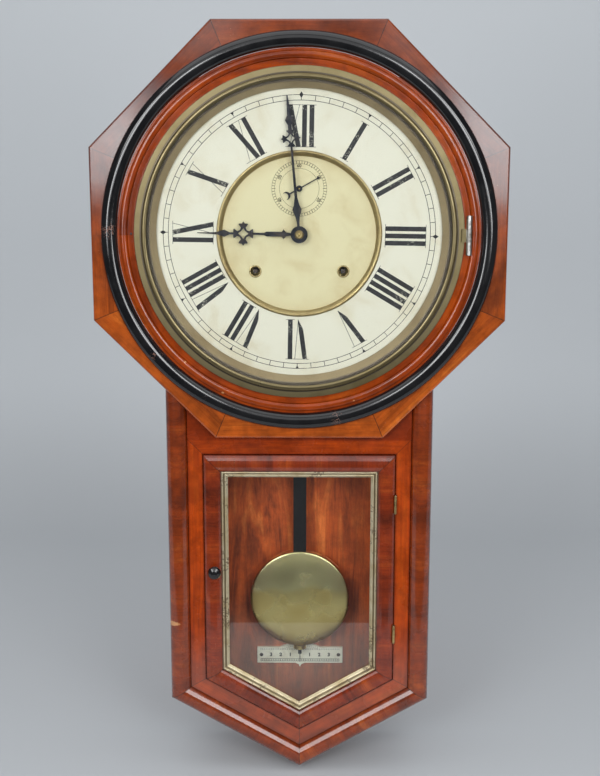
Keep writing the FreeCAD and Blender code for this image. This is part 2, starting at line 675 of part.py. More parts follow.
seam = "moulding_half-moulding_width-band_width"
axis_across = "%s-door_gap/2" % seam
case_leaves, door_leaves, pins = [], [], []
for name, height in (("upper", "hinge_upper"), ("lower", "hinge_lower")):
    low, high = height + "-hinge_length/2", height + "+hinge_length/2"
    low_in, high_in = height + "-hinge_length/6", height + "+hinge_length/6"
    near = "leaf_front"
    case_parts = [block(name + "_case_leaf", seam + "+0.1", seam + "+leaf_thick+0.1", "leaf_back", near, low,
                        high)]
    for end, bottom, top in (("a", low, low_in + "-0.2"), ("b", high_in + "+0.2", high)):
        web = cut(name + "_case_web" + end,
                  block(name + "_case_webs" + end, seam + "+0.1", seam + "+leaf_thick+0.1", "leaf_back",
                        "door_axis_front", bottom, top),
                  [post(name + "_case_webbore" + end, axis_across, "door_axis_front", "0.75",
                        bottom + "-1", top + "+1")])
        case_parts += [web, knuckle(name + "_case_knuckle" + end, axis_across, "door_axis_front",
                                    "barrel_radius",
                                    "0.75", bottom, top)]
    case_leaves.append(fuse(name + "_case_metal", case_parts))
    door_web = cut(name + "_door_web",
                   block(name + "_door_webs", seam + "-door_gap-leaf_thick-0.1", seam + "-door_gap-0.1",
                         "leaf_back",
                         "door_axis_front", low_in, high_in),
                   [post(name + "_door_webbore", axis_across, "door_axis_front", "0.75",
                         low_in + "-1", high_in + "+1")])
    door_leaves.append(fuse(name + "_door_metal", [
        block(name + "_door_leaf", seam + "-door_gap-leaf_thick-0.1", seam + "-door_gap-0.1", "leaf_back",
              near, low, high),
        door_web, knuckle(name + "_door_knuckle", axis_across, "door_axis_front", "barrel_radius", "0.75",
                          low_in, high_in)]))
    pins.append(post(name + "_pin", axis_across, "door_axis_front", "0.7", low + "-0.4", high + "+0.4"))
pins.append(post("bezel_pin", "bezel_axis", "bezel_axis_front", "1.5", "-bezel_hinge_half-0.6",
                 "bezel_hinge_half+0.6"))
keep(group("case_leaves", case_leaves), "door_hinge_leaves_case")
keep(group("door_leaves", door_leaves), "door_hinge_leaves")
keep(group("pins", pins), "hinge_pins")

# Movement layout in (x, z) about the dial centre
centre = (0.0, 0.0)
escape = (0.0, num("seconds_rise"))
time_wind = (num("winding_side"), -num("winding_fall"))
strike_wind = (-num("winding_side"), -num("winding_fall"))
second = crossing(centre, num("second_reach"), time_wind, num("great_reach"), 1)
third_spot = crossing(centre, num("centre_reach"), escape, num("third_reach"), -1)
minute_spot = (0.0, -num("motion_reach"))
pin_spot = polar(strike_wind, 100, num("great_reach"))
strike_third = polar(pin_spot, 75, num("pin_reach"))
fly_spot = polar(strike_third, 60, num("fly_reach"))
verge_spot = (0.0, escape[1] + num("escape_radius") * math.sqrt(2))
hammer_spot = (8 - num("plate_half"), 10.0)
plate_front = num("back_plate_front")
plate_back = num("front_plate_back")
thick = num("plate_thick")
pivot = num("pivot_radius")
stem = num("arbor_radius")


# Share of the way from the back plate to the front plate
def layer(share):
    return plate_front + share * (plate_back - plate_front)


# A steel arbor between the plates with a pivot in each plate
def arbor(spot, radius, back_pivot=None, front_pivot=None):
    return [disc(spot[0], spot[1], radius, plate_front + 0.4, plate_back - 0.4),
            disc(spot[0], spot[1], back_pivot or pivot, plate_front - thick + 0.2, plate_back),
            disc(spot[0], spot[1], front_pivot or pivot, plate_front, plate_back + thick - 0.2)]


def text(value):
    return "%.6f" % value


small = [second, third_spot, pin_spot, strike_third, fly_spot]
plate_loop = [("-plate_half", "pillar_low-14"), ("plate_half", "pillar_low-14"),
              ("plate_half", "pillar_high+10"),
              ("-plate_half", "pillar_high+10")]
back_holes = [("circle", text(x), text(z), "pivot_radius+pivot_play") for x, z in small + [escape]]
back_holes += [("circle", text(x), text(z), "1.2+pivot_play") for x, z in (centre, verge_spot, hammer_spot)]
back_holes += [("circle", side + "winding_side", "-winding_fall", "2+pivot_play") for side in ("", "-")]
back_body = sheet_body("back_plate_body", [plate_loop] + back_holes, "back_plate_front-plate_thick",
                       "back_plate_front")
spring_coils = 7
spring_reach = "spring_radius+(spring_radius-1.3*winding_radius)/%d+spring_thick/2" % (2 * spring_coils - 1)
studs = [rod(name + "_stud", side + "winding_side", "-winding_fall-2.35-(%s)" % spring_reach, "2",
             "back_plate_front-1", "back_plate_front+18") for name, side in (("time", ""), ("strike", "-"))]
keep(fuse("back_plate_metal", [back_body] + studs), "back_plate")
front_holes = [("circle", text(x), text(z), "pivot_radius+pivot_play") for x,
               z in small + [verge_spot, hammer_spot]]
front_holes += [("circle", text(x), text(z), "1.6+pivot_play") for x, z in (centre, escape)]
front_holes += [("circle", side + "winding_side", "-winding_fall", "3+pivot_play") for side in ("", "-")]
front_body = sheet_body("front_plate_body", [plate_loop] + front_holes, "front_plate_back",
                        "front_plate_back+plate_thick")
motion_post = rod("motion_post", "0", "-motion_reach", "1.44", "front_plate_back+plate_thick-1",
                  "front_plate_back+plate_thick+8")
keep(fuse("front_plate_metal", [front_body, motion_post]), "front_plate")
pillars, feet = [], []
for name, side, height in (("a", "", "pillar_low"), ("b", "-", "pillar_low"), ("c", "", "pillar_high"),
                           ("d", "-", "pillar_high")):
    pillars.append(rod("pillar_" + name, side + "pillar_side", height, "pillar_radius", "back_plate_front",
                       "front_plate_back"))
    feet.append(rod("foot_" + name, side + "pillar_side", height, "pillar_radius+0.5", "back_thick",
                    "back_plate_front-plate_thick"))
keep(group("pillars", pillars), "plate_pillars")
keep(group("feet", feet), "movement_feet")

# Time train
great_module = module_of("great_reach", "great_teeth", "small_leaves")
second_module = module_of("second_reach", "second_teeth", "centre_leaves")
centre_module = module_of("centre_reach", "centre_teeth", "small_leaves")
third_module = module_of("third_reach", "third_teeth", "small_leaves")
cannon_module = module_of("motion_reach", "second_teeth", "centre_leaves")
hour_module = module_of("motion_reach", "hour_teeth", "centre_leaves")
leaves = num("small_leaves")
motion = plate_back + thick
hand = num("hand_thick")
hour_front = num(dial_front) + 2
minute_front = hour_front + 2.4
centre_parts = arbor(centre, stem + 0.5, 1.2, 1.6)
centre_parts += [pinion(centre, num("centre_leaves"), second_module, second, layer(0.47), layer(0.62)),
                 wheel(centre, num("centre_teeth"), centre_module, third_spot, layer(0.29), layer(0.34)),
                 disc(0, 0, 1.6, plate_back, minute_front + 2.2),
                 disc(0, 0, 2.6, motion + 1, minute_front + hand),
                 pinion(centre, num("centre_leaves"), cannon_module, minute_spot, motion + 1, motion + 4.4)]
keep(feature("centre_metal", [join(centre_parts)]), "centre_wheel")
keep(feature("second_metal", [join(arbor(second, stem) + [
    pinion(second, leaves, great_module, time_wind, layer(0.69), layer(0.91)),
    wheel(second, num("second_teeth"), second_module, centre, layer(0.51), layer(0.57), 4)])]),
    "second_wheel")
keep(feature("third_metal", [join(arbor(third_spot, stem) + [
    pinion(third_spot, leaves, centre_module, centre, layer(0.22), layer(0.41)),
    wheel(third_spot, num("third_teeth"), third_module, escape, layer(0.10), layer(0.15))])]), "third_wheel")
minute_parts = join([wheel(minute_spot, num("second_teeth"), cannon_module, centre, motion + 1.8,
                           motion + 3.6, 4),
                     pinion(minute_spot, num("centre_leaves"), hour_module, centre, motion + 3.4,
                            motion + 7.4)])
keep(feature("minute_metal", [minute_parts.cut(disc(minute_spot[0], minute_spot[1], 1.5, motion,
                                                    motion + 9))]),
     "minute_wheel")
hour_parts = join([wheel(centre, num("hour_teeth"), hour_module, minute_spot, motion + 5.2, motion + 6.8, 4),
                   disc(0, 0, 3.6, motion + 5.2, hour_front + hand)])
keep(feature("hour_metal", [hour_parts.cut(disc(0, 0, 2.7, motion + 4, hour_front + 4))]), "hour_wheel")

# Escapement: a quarter pitch between pallet and tooth keeps both clear through the swing
escape_count = int(num("escape_teeth"))
tip_reach = num("escape_radius")
pitch = 2 * math.pi / escape_count
escape_points = []
for tooth in range(escape_count):
    middle = math.pi / 4 + pitch / 4 + tooth * pitch
    for reach, across in ((tip_reach - 3.2, -0.9), (tip_reach, -0.15), (tip_reach, 0.15),
                          (tip_reach - 3.2, 0.9)):
        turn = middle + across / reach
        escape_points.append((reach * math.cos(turn), escape[1] + reach * math.sin(turn)))
escape_disc = prism(escape_points, layer(0.47), layer(0.505))
for step in range(5):
    x, z = polar(escape, 18 + 72 * step, 0.5 * tip_reach)
    escape_disc = escape_disc.cut(disc(x, z, 0.21 * tip_reach, layer(0.4), layer(0.6)))
seconds_front = num("centre_front") + 1.7
keep(feature("escape_metal", [join(arbor(escape, stem, None, 1.6) + [
    escape_disc, pinion(escape, leaves, third_module, third_spot, layer(0.06), layer(0.21)),
    disc(escape[0], escape[1], 1.6, plate_back, seconds_front - 2),
    disc(escape[0], escape[1], 0.8, plate_back, seconds_front + 0.6)])]), "escape_wheel")
verge_reach = tip_reach
clear = num("pallet_clear")
verge_parts = arbor(verge_spot, stem, 1.2) + [disc(verge_spot[0], verge_spot[1], 5.4, layer(0.455),
                                                   layer(0.53))]
for side in (1, -1):
    def along(a, b, side=side):
        half = math.sqrt(0.5)
        return (side * (a * half + b * half), verge_spot[1] - a * half + b * half)
    verge_parts.append(prism([along(0, 2.2), along(verge_reach + 0.05, 2.2), along(verge_reach + 0.05, clear),
                              along(verge_reach + 0.95, clear), along(verge_reach + 1.4, 5.2), along(0, 5.2)],
                             layer(0.455), layer(0.53)))
crutch_low = num("rod_top") - 14
rod_back = num("rod_front") - num("rod_thick")
plate_rear = plate_front - thick
verge_parts += [disc(verge_spot[0], verge_spot[1], 1.2, plate_rear - 4, plate_front),
                disc(verge_spot[0], verge_spot[1], 3.2, plate_rear - 4, plate_rear - 0.6),
                Part.makeBox(3, 2, verge_spot[1] - crutch_low, Vector(-1.5, 1.8 - plate_rear, crutch_low)),
                disc(0, crutch_low, 1.2, rod_back - 2, plate_rear - 1.8)]
keep(feature("verge_metal", [join(verge_parts)]), "verge")


# Hands: outlines about their own centre with the hand pointing up, then turned clockwise
def hand_solid(spot, outlines, holes, hub, bore, degrees, back, front):
    solids = [prism(points, back, front) for points in outlines] + [disc(0, 0, hub, back, front)]
    solid = join(solids)
    for points in holes:
        solid = solid.cut(prism(points, back - 1, front + 1))
    solid = solid.cut(disc(0, 0, bore, back - 1, front + 1))
    solid.rotate(Vector(), Vector(0, 1, 0), degrees)
    solid.translate(Vector(spot[0], 0, spot[1]))
    return solid


# Outline of a hand from its hub to its tip: (distance, half width) as shares of its length
def blade(length, stations):
    right = [(half * length, along * length) for along, half in stations]
    left = [(-half * length, along * length) for along, half in reversed(stations)]
    return right + left


# Four arms with flared ends; those across the hand end in a point, those along it run into the blade
def cross(height, reach):
    points = []
    for step in range(4):
        turn = step * math.pi / 2
        tip = 0.83 if step % 2 else 1.0
        for out, side in ((0.285, -0.285), (0.49, -0.195), (0.75, -0.39), (0.81, -0.36), (0.83, -0.12),
                          (tip, 0),
                          (0.83, 0.12), (0.81, 0.36), (0.75, 0.39), (0.49, 0.195)):
            if (out, side) == (0.83, 0):
                continue
            x, z = out * reach, side * reach
            points.append((x * math.cos(turn) - z * math.sin(turn),
                           height + x * math.sin(turn) + z * math.cos(turn)))
    return points


# Pierced star with hollow sides in the middle of a cross
def star(height, reach):
    points = []
    for step in range(8):
        out = (0.26 if step % 2 else 0.44) * reach
        turn = step * math.pi / 4
        points.append((out * math.cos(turn), height + out * math.sin(turn)))
    return points


length = num("minute_length")
middle = 0.695 * length
minute_shapes = [blade(length, [(0, 0.01), (0.085, 0.0095), (0.13, 0.016), (0.183, 0.034), (0.215, 0.021),
                                (0.27, 0.0105), (0.64, 0.0078), (0.66, 0.0078)]),
                 blade(length, [(0.73, 0.0145), (0.79, 0.0135), (0.824, 0.031), (0.86, 0.0125),
                                (0.95, 0.0085),
                                (1, 0.0045)]), cross(middle, 0.072 * length)]
keep(feature("minute_steel", [hand_solid(centre, minute_shapes, [star(middle, 0.072 * length)], 8.8, 2.65, -5,
                                         minute_front, minute_front + hand)]), "minute_hand")
length = num("hour_length")
middle = 0.548 * length
hour_shapes = [blade(length, [(0, 0.0122), (0.0845, 0.0122), (0.127, 0.02), (0.155, 0.048), (0.17, 0.0235),
                              (0.32, 0.0235), (0.343, 0.0105), (0.47, 0.0105)]),
               blade(length, [(0.63, 0.0103), (0.684, 0.0103), (0.733, 0.035), (0.8, 0.014), (0.84, 0.0085),
                              (1, 0.003)]), cross(middle, 0.119 * length)]
keep(feature("hour_steel", [hand_solid(centre, hour_shapes, [star(middle, 0.119 * length)], 8.8, 3.65, 271,
                                       hour_front, hour_front + hand)]), "hour_hand")
length = num("seconds_length")
moon_out, moon_in = disc(0, -0.62 * length, 4.2, seconds_front, seconds_front + 0.5), disc(
    0, -0.62 * length - 1.9, 3.6, seconds_front - 1, seconds_front + 2)
pointer = blade(length, [(-0.5, 0.034), (0.84, 0.02), (0.9, 0.052), (0.97, 0.03), (1, 0.008)])
seconds_parts = [prism(pointer, seconds_front, seconds_front + 0.5),
                 disc(0, 0, 3.3, seconds_front - 0.6, seconds_front + 0.5), moon_out.cut(moon_in)]
seconds_solid = join(seconds_parts).cut(disc(0, 0, 0.85, seconds_front - 3, seconds_front + 3))
seconds_solid.rotate(Vector(), Vector(0, 1, 0), 61)
seconds_solid.translate(Vector(escape[0], 0, escape[1]))
keep(feature("seconds_steel", [seconds_solid]), "seconds_hand")
collet = Part.makeCone(4.7, 3.2, 1.5, Vector(0, -(minute_front + hand), 0), Vector(0, -1, 0))
keep(feature("collet_brass", [collet.cut(disc(0, 0, 1.65, minute_front, minute_front + 5))]), "hand_collet")


# Flat spiral of half circles, out from the inner radius to the outer one
def spiral(spot, inner, outer, turns, thickness, start_degrees, back, front):
    halves = int(2 * turns)
    step = (outer - inner) / (halves - 1)
    x, z = 0.0, 0.0
    outside, inside = [], []
    sign = 1
    for place in range(halves):
        reach = inner + step * place
        for radius, chain in ((reach + thickness / 2, outside), (reach - thickness / 2, inside)):
            first = Vector(x + sign * radius, -back, z)
            crown = Vector(x, -back, z + sign * radius)
            last = Vector(x - sign * radius, -back, z)
            chain.append(Part.Arc(first, crown, last).toShape())
        x += sign * step
        sign = -sign
    begin = Part.makeLine(outside[0].valueAt(outside[0].FirstParameter),
                          inside[0].valueAt(inside[0].FirstParameter))
    end = Part.makeLine(outside[-1].valueAt(outside[-1].LastParameter),
                        inside[-1].valueAt(inside[-1].LastParameter))
    wire = Part.Wire(Part.__sortEdges__(outside + inside + [begin, end]))
    solid = Part.Face(wire).extrude(Vector(0, back - front, 0))
    solid.rotate(Vector(), Vector(0, 1, 0), start_degrees)
    solid.translate(Vector(spot[0], 0, spot[1]))
    return solid


# Great wheels, winding arbors with ratchets, mainsprings
winding = num("winding_radius")


def ratchet(spot, back, front):
    points = []
    for tooth in range(24):
        first = math.radians(15 * tooth)
        last = math.radians(15 * tooth + 13.6)
        for reach, turn in ((2.4 * winding, first), (2.75 * winding, last)):
            points.append((spot[0] + reach * math.cos(turn), spot[1] + reach * math.sin(turn)))
    return prism(points, back, front)


def click(spot, back, front):
    shape = [polar(spot, angle, reach * winding)
             for angle, reach in ((1.4, 2.6), (2.8, 2.6), (9, 3.05), (26, 3.5), (30, 4.5), (22, 4.62),
                                  (4, 3.65))]
    return prism(shape, back, front)


for name, spot, mate in (("time", time_wind, second), ("strike", strike_wind, pin_spot)):
    great = wheel(spot, num("great_teeth"), great_module, mate, layer(0.765), layer(0.84), 0)
    great = join([great, click(spot, layer(0.83), layer(0.92))]).cut(disc(spot[0], spot[1], winding + 0.06,
                                                                          plate_front, plate_back))
    keep(feature(name + "_great_brass", [great]), name + "_great_wheel")
    square = Part.makeBox(4.2, 12, 4.2, Vector(spot[0] - 2.1, -(motion + 12.4), spot[1] - 2.1))
    keep(feature(name + "_winding_steel", [join(arbor(spot, winding, 2, 3) + [
        ratchet(spot, layer(0.86), layer(0.92)), disc(spot[0], spot[1], 3, plate_back, motion + 0.6),
        square])]),
        name + "_winding_arbor")
    keep(feature(name + "_spring_steel", [spiral(spot, 1.3 * winding, num("spring_radius"), spring_coils,
                                                     num("spring_thick"), 90, layer(0.12), layer(0.47))]),
         name + "_mainspring")

# Strike train, hammer and gong
pin_module = module_of("pin_reach", "pin_teeth", "small_leaves")
fly_module = module_of("fly_reach", "strike_teeth", "small_leaves")
pin_circle = 0.4 * pin_module * num("pin_teeth")
pin_parts = arbor(pin_spot, stem) + [pinion(pin_spot, leaves, great_module, strike_wind, layer(0.69),
                                            layer(0.91)),
                                    wheel(pin_spot, num("pin_teeth"), pin_module, strike_third, layer(0.59),
                                          layer(0.63), 0)]
for step in range(8):
    x, z = polar(pin_spot, 45 * step + 10, pin_circle)
    pin_parts.append(disc(x, z, 1, layer(0.62), layer(0.735)))
keep(feature("pin_metal", [join(pin_parts)]), "strike_pin_wheel")
keep(feature("strike_third_metal", [join(arbor(strike_third, stem) + [
    pinion(strike_third, leaves, pin_module, pin_spot, layer(0.53), layer(0.69)),
    wheel(strike_third, num("strike_teeth"), fly_module, fly_spot, layer(0.35), layer(0.40), 4)])]),
    "strike_third_wheel")
vane = Part.makeBox(24, layer(0.94) - layer(0.53), 0.8,
                    Vector(fly_spot[0] - 12, -layer(0.94), fly_spot[1] - 0.4))
keep(feature("fly_metal", [join(arbor(fly_spot, stem) + [
    pinion(fly_spot, leaves, fly_module, strike_third, layer(0.29), layer(0.46)), vane])]), "strike_fly")
gong_spot = (0.0, num("gong_height"))
gong_wire = num("gong_wire")
gong_back = num("back_thick") + 4.5
keep(feature("gong_steel", [spiral(gong_spot, num("gong_inner"), num("gong_radius"), 5, gong_wire, 0,
                                   gong_back,
                                      gong_back + 3)]), "gong")
keep(turned_body("gong_stand_body", [("0", "back_thick"), ("gong_inner+2", "back_thick"),
                                     ("gong_inner+2", "back_thick+3"),
                                     ("gong_inner-gong_wire/2-0.3", "back_thick+3"),
                                     ("gong_inner-gong_wire/2-0.3", "back_thick+10"), ("0", "back_thick+10")],
                                     "0", "gong_height"), "gong_stand")
head = polar(gong_spot, 165, num("gong_radius") + gong_wire / 2 + 1.5 + 5)
reach = math.hypot(head[0] - hammer_spot[0], head[1] - hammer_spot[1])
lean = math.atan2(head[1] - hammer_spot[1], head[0] - hammer_spot[0])
to_pins = math.atan2(pin_spot[1] - hammer_spot[1], pin_spot[0] - hammer_spot[0])
tail_length = math.hypot(pin_spot[0] - hammer_spot[0],
                                                                pin_spot[1] - hammer_spot[1]) - pin_circle - 1.9


def bar(spot, angle, size, half, back, front):
    solid = prism([(0, -half), (size, -half), (size, half), (0, half)], back, front)
    solid.rotate(Vector(), Vector(0, 1, 0), -math.degrees(angle))
    solid.translate(Vector(spot[0], 0, spot[1]))
    return solid


keep(feature("hammer_metal", [join(arbor(hammer_spot, stem, 1.2) + [
    disc(hammer_spot[0], hammer_spot[1], 1.2, plate_rear - 7, plate_front),
    disc(hammer_spot[0], hammer_spot[1], 3, plate_rear - 7, plate_rear - 0.6),
    bar(hammer_spot, lean, reach, 1.5, plate_rear - 7, plate_rear - 4),
    disc(head[0], head[1], 5, gong_back - 1, plate_rear - 4),
    bar(hammer_spot, to_pins, tail_length, 1.5, layer(0.66), layer(0.72))])]), "hammer")

# Suspension and pendulum
susp_front = "rod_front-rod_thick/2"
verge_up = text(verge_spot[1])
cock = fuse("cock_metal", [
    block("cock_arm", "-8", "8", susp_front + "-4", "back_plate_front-plate_thick", verge_up + "+6",
          verge_up + "+14"),
    block("cock_chop", "-8", "8", susp_front + "-4", susp_front + "+4", verge_up + "+0.8", verge_up + "+14")])
keep(cut("cock_cut", cock, [block("cock_slot", "-4.6", "4.6", susp_front + "-0.5", susp_front + "+0.5",
                                  verge_up + "-1", verge_up + "+12")]), "suspension_cock")
keep(fuse("suspension_metal", [
    block("suspension_leaf", "-4", "4", susp_front + "-0.2", susp_front + "+0.2", "rod_top+5",
          verge_up + "+11"),
    block("suspension_end", "-5", "5", susp_front + "-3", susp_front + "+3", "rod_top", "rod_top+12")]),
    "suspension_spring")
rod_bar = cut("rod_bar", block("rod_wood", "-rod_half", "rod_half", "rod_front-rod_thick", "rod_front",
                               "rod_bottom",
                               "rod_top"),
              [block("crutch_slot", "-1.5", "1.5", "rod_front-rod_thick-1", "rod_front+1", "rod_top-18",
                     "rod_top-10")])
keep(fuse("rod_whole", [rod_bar, post("rating_screw", "0", susp_front, "screw_radius", "rod_bottom-26.5",
                                      "rod_bottom+2")]), "pendulum_rod")
bob_body = turned_body("bob_body", [
    ("0", susp_front + "-bob_half"), ("bob_radius-9", susp_front + "-0.83*bob_half"),
    ("bob_radius", susp_front + "-0.36*bob_half"), ("bob_radius", susp_front + "+0.52*bob_half"),
    ("bob_radius-1.4", susp_front + "+0.65*bob_half"), ("bob_radius-18", susp_front + "+0.89*bob_half"),
    ("0", susp_front + "+bob_half")], "0", "bob_height")
keep(cut("bob_cut", bob_body, [block("bob_slot", "-rod_half-slide_play", "rod_half+slide_play",
                                     "rod_front-rod_thick-slide_play", "rod_front+slide_play",
                                     "bob_height-80", "bob_height+80")]), "pendulum_bob")
nut_top = "bob_height-bob_radius-0.3"
keep(cut("nut_cut", post("nut_disc", "0", susp_front, "nut_radius", nut_top + "-4", nut_top),
         [post("nut_bore", "0", susp_front, "screw_radius+0.08", nut_top + "-8", nut_top + "+2")]),
         "rating_nut")

# Scale plate behind the bob
keep(sheet_body("scale_body", [[
    ("-scale_half", "scale_top"), ("-scale_half", "scale_bottom"), ("-5.5", "scale_bottom"),
    ("-1.6", "scale_bottom-1.8"), ("0", "scale_bottom-5.2"), ("1.6", "scale_bottom-1.8"),
    ("5.5", "scale_bottom"),
    ("scale_half", "scale_bottom"), ("scale_half", "scale_top"),
    ("24", "scale_top", "54", 1), ("-24", "scale_top")]], "back_thick", "scale_front"), "scale_plate")

doc.recompute()
for item in doc.Objects:
    if "Invalid" in item.State or "Error" in item.State:
        raise RuntimeError("could not build " + item.Label)
os.makedirs("parts", exist_ok=True)
for label, item in nodes.items():
    shape = item.Shape
    if shape.isNull() or not shape.isValid() or not shape.Solids:
        raise RuntimeError("no valid solid for " + label)
for label, item in nodes.items():
    item.Shape.exportStep("parts/" + label + ".step")
print(len(nodes), "pieces written")
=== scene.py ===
import math
import bmesh
import bpy
from mathutils import Matrix, Quaternion, Vector


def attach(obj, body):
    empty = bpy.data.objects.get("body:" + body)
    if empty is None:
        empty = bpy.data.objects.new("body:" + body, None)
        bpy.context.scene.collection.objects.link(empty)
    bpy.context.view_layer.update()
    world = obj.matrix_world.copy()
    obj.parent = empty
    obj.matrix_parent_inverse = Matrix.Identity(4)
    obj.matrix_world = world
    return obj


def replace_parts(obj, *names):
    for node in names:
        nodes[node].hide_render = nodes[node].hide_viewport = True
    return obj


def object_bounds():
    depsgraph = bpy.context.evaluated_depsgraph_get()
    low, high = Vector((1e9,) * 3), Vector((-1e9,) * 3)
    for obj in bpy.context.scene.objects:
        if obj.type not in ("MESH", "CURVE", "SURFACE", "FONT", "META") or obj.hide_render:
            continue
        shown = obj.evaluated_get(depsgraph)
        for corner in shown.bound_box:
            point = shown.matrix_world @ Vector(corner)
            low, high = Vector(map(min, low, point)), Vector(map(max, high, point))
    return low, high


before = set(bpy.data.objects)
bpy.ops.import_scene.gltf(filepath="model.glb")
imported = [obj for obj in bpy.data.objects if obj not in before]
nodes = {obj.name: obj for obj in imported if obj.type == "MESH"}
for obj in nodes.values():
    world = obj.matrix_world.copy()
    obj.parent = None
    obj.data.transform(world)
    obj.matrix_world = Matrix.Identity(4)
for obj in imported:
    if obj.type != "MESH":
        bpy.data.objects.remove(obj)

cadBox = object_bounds()
scene = bpy.context.scene
mm = 0.001
dialHeight = -0.140  # dial centre below the hanger hole
dialCentre = Vector((0, 0, dialHeight))
standUp = Matrix.Rotation(math.pi / 2, 4, "X")  # turns a flat shape to face the front
# pointed case below the dial: half width, tip, slope and the widths of its frames from the edge inwards
case = {"half": 143.5, "tip": -601.2, "slope": math.radians(30), "moulding": 22.6, "band": 16.0, "gap": 0.8,
        "rail": 19.0, "slipGap": 0.2, "doorTop": -237.0, "bandTop": -220.2}
doorInset = case["moulding"] + case["band"] + case["gap"]
slipInset = doorInset + case["rail"] + case["slipGap"]
slipTop = case["doorTop"] - case["rail"] - case["slipGap"]
# how far a mitre runs along for each step inwards, at the knee and at the tip
kneeBend = math.tan((math.pi / 2 - case["slope"]) / 2)
tipReach = 1 / math.cos(case["slope"])
print("frame loaded:", len(nodes), "nodes")


# outline of the pointed case at an inset from its edge: half width, tip and the knee above the slanted foot
def halfAt(inset):
    return case["half"] - inset


def tipAt(inset):
    return case["tip"] + inset / math.cos(case["slope"])


def kneeAt(inset):
    return tipAt(inset) + halfAt(inset) * math.tan(case["slope"])


# node helpers; a new node joins the tree of the first socket it is given
def feed(socket, value):
    if isinstance(value, bpy.types.NodeSocket):
        socket.id_data.links.new(value, socket)
    else:
        socket.default_value = value


def addNode(kind, inputs, **settings):
    tree = next(value.id_data for value in inputs.values() if isinstance(value, bpy.types.NodeSocket))
    node = tree.nodes.new("ShaderNode" + kind)
    for key, value in settings.items():
        setattr(node, key, value)
    for key, value in inputs.items():
        feed(node.inputs[key], value)
    return node.outputs


def calc(operation, *values):
    return addNode("Math", dict(enumerate(values)), operation=operation)[0]


def times(first, second):
    return calc("MULTIPLY", first, second)


def plus(first, second):
    return calc("ADD", first, second)


def minus(first, second):
    return calc("SUBTRACT", first, second)


def vectorCalc(operation, *values):
    made = addNode("VectorMath", dict(enumerate(values)), operation=operation)
    return made["Value" if operation in ("DISTANCE", "LENGTH") else "Vector"]


def mixColor(factor, first, second, blend="MIX"):
    inputs = {0: factor, 6: first, 7: second}
    return addNode("Mix", inputs, data_type="RGBA", blend_type=blend)[2]


def mixValue(factor, first, second):
    return addNode("Mix", {0: factor, 2: first, 3: second}, data_type="FLOAT")[0]


# lays a plain tone over another one
def cover(share, tone, over):
    return mixColor(share, tone, (*over, 1))


def ramp(value, low, high, first=0.0, second=1.0):
    inputs = {"Value": value, "From Min": low, "From Max": high, "To Min": first, "To Max": second}
    return addNode("MapRange", inputs, interpolation_type="SMOOTHSTEP")[0]


def noise(vector, stretch, detail=3.0, roughness=0.55, distortion=0.0):
    if not isinstance(stretch, tuple):
        stretch = (stretch,) * 3
    inputs = {"Vector": vectorCalc("MULTIPLY", vector, stretch), "Scale": 1.0, "Detail": detail,
              "Roughness": roughness, "Distortion": distortion}
    return addNode("TexNoise", inputs)["Fac"]


def split(vector):
    return addNode("SeparateXYZ", {"Vector": vector})


def merge(x, y, z):
    return addNode("CombineXYZ", {"X": x, "Y": y, "Z": z})[0]


# distance to a spot given in millimetres about the dial centre
def distanceTo(place, x, front, z):
    return vectorCalc("DISTANCE", place, (x * mm, -front * mm, z * mm + dialHeight))


# distance from the axis of the dial
def dialReach(place):
    x, y, z = split(vectorCalc("SUBTRACT", place, dialCentre))
    return calc("SQRT", plus(times(x, x), times(z, z)))


floatSocket, colorSocket, vectorSocket = "NodeSocketFloat", "NodeSocketColor", "NodeSocketVector"


# an input's own value gives its kind: a number, a colour, or none for a vector
def newGroup(name, inputs, outputs):
    tree = bpy.data.node_groups.new(name, "ShaderNodeTree")
    for label, value in inputs.items():
        kind = {float: floatSocket, tuple: colorSocket}.get(type(value), vectorSocket)
        socket = tree.interface.new_socket(label, in_out="INPUT", socket_type=kind)
        if value is not None:
            socket.default_value = value
    for label, kind in outputs.items():
        tree.interface.new_socket(label, in_out="OUTPUT", socket_type=kind)
    return tree, tree.nodes.new("NodeGroupInput").outputs, tree.nodes.new("NodeGroupOutput").inputs


def useGroup(group, **inputs):
    return addNode("Group", inputs, node_tree=group)


# each rail takes its own stretch of the grain, so many metres along
railShift = 3.7
frameShift = {"side": 3.1, "slant": 1.7, "top": 5.3}


# coordinates that follow the eight rails of the octagon: x along the rail, y outwards
def makeRailPath():
    tree, given, put = newGroup("railPath", {"Vector": None}, {"Vector": vectorSocket, "Mitre": floatSocket})
    x, y, z = split(vectorCalc("SUBTRACT", given["Vector"], dialCentre))
    step = calc("ROUND", calc("DIVIDE", calc("ARCTAN2", z, x), math.pi / 4))
    turn = times(step, math.pi / 4)
    c, s = calc("COSINE", turn), calc("SINE", turn)
    out = plus(times(x, c), times(z, s))
    along = minus(times(z, c), times(x, s))
    mitre = minus(times(out, math.sin(math.pi / 8)), times(calc("ABSOLUTE", along), math.cos(math.pi / 8)))
    feed(put["Vector"], merge(plus(along, times(step, railShift)), out, y))
    feed(put["Mitre"], mitre)
    return tree


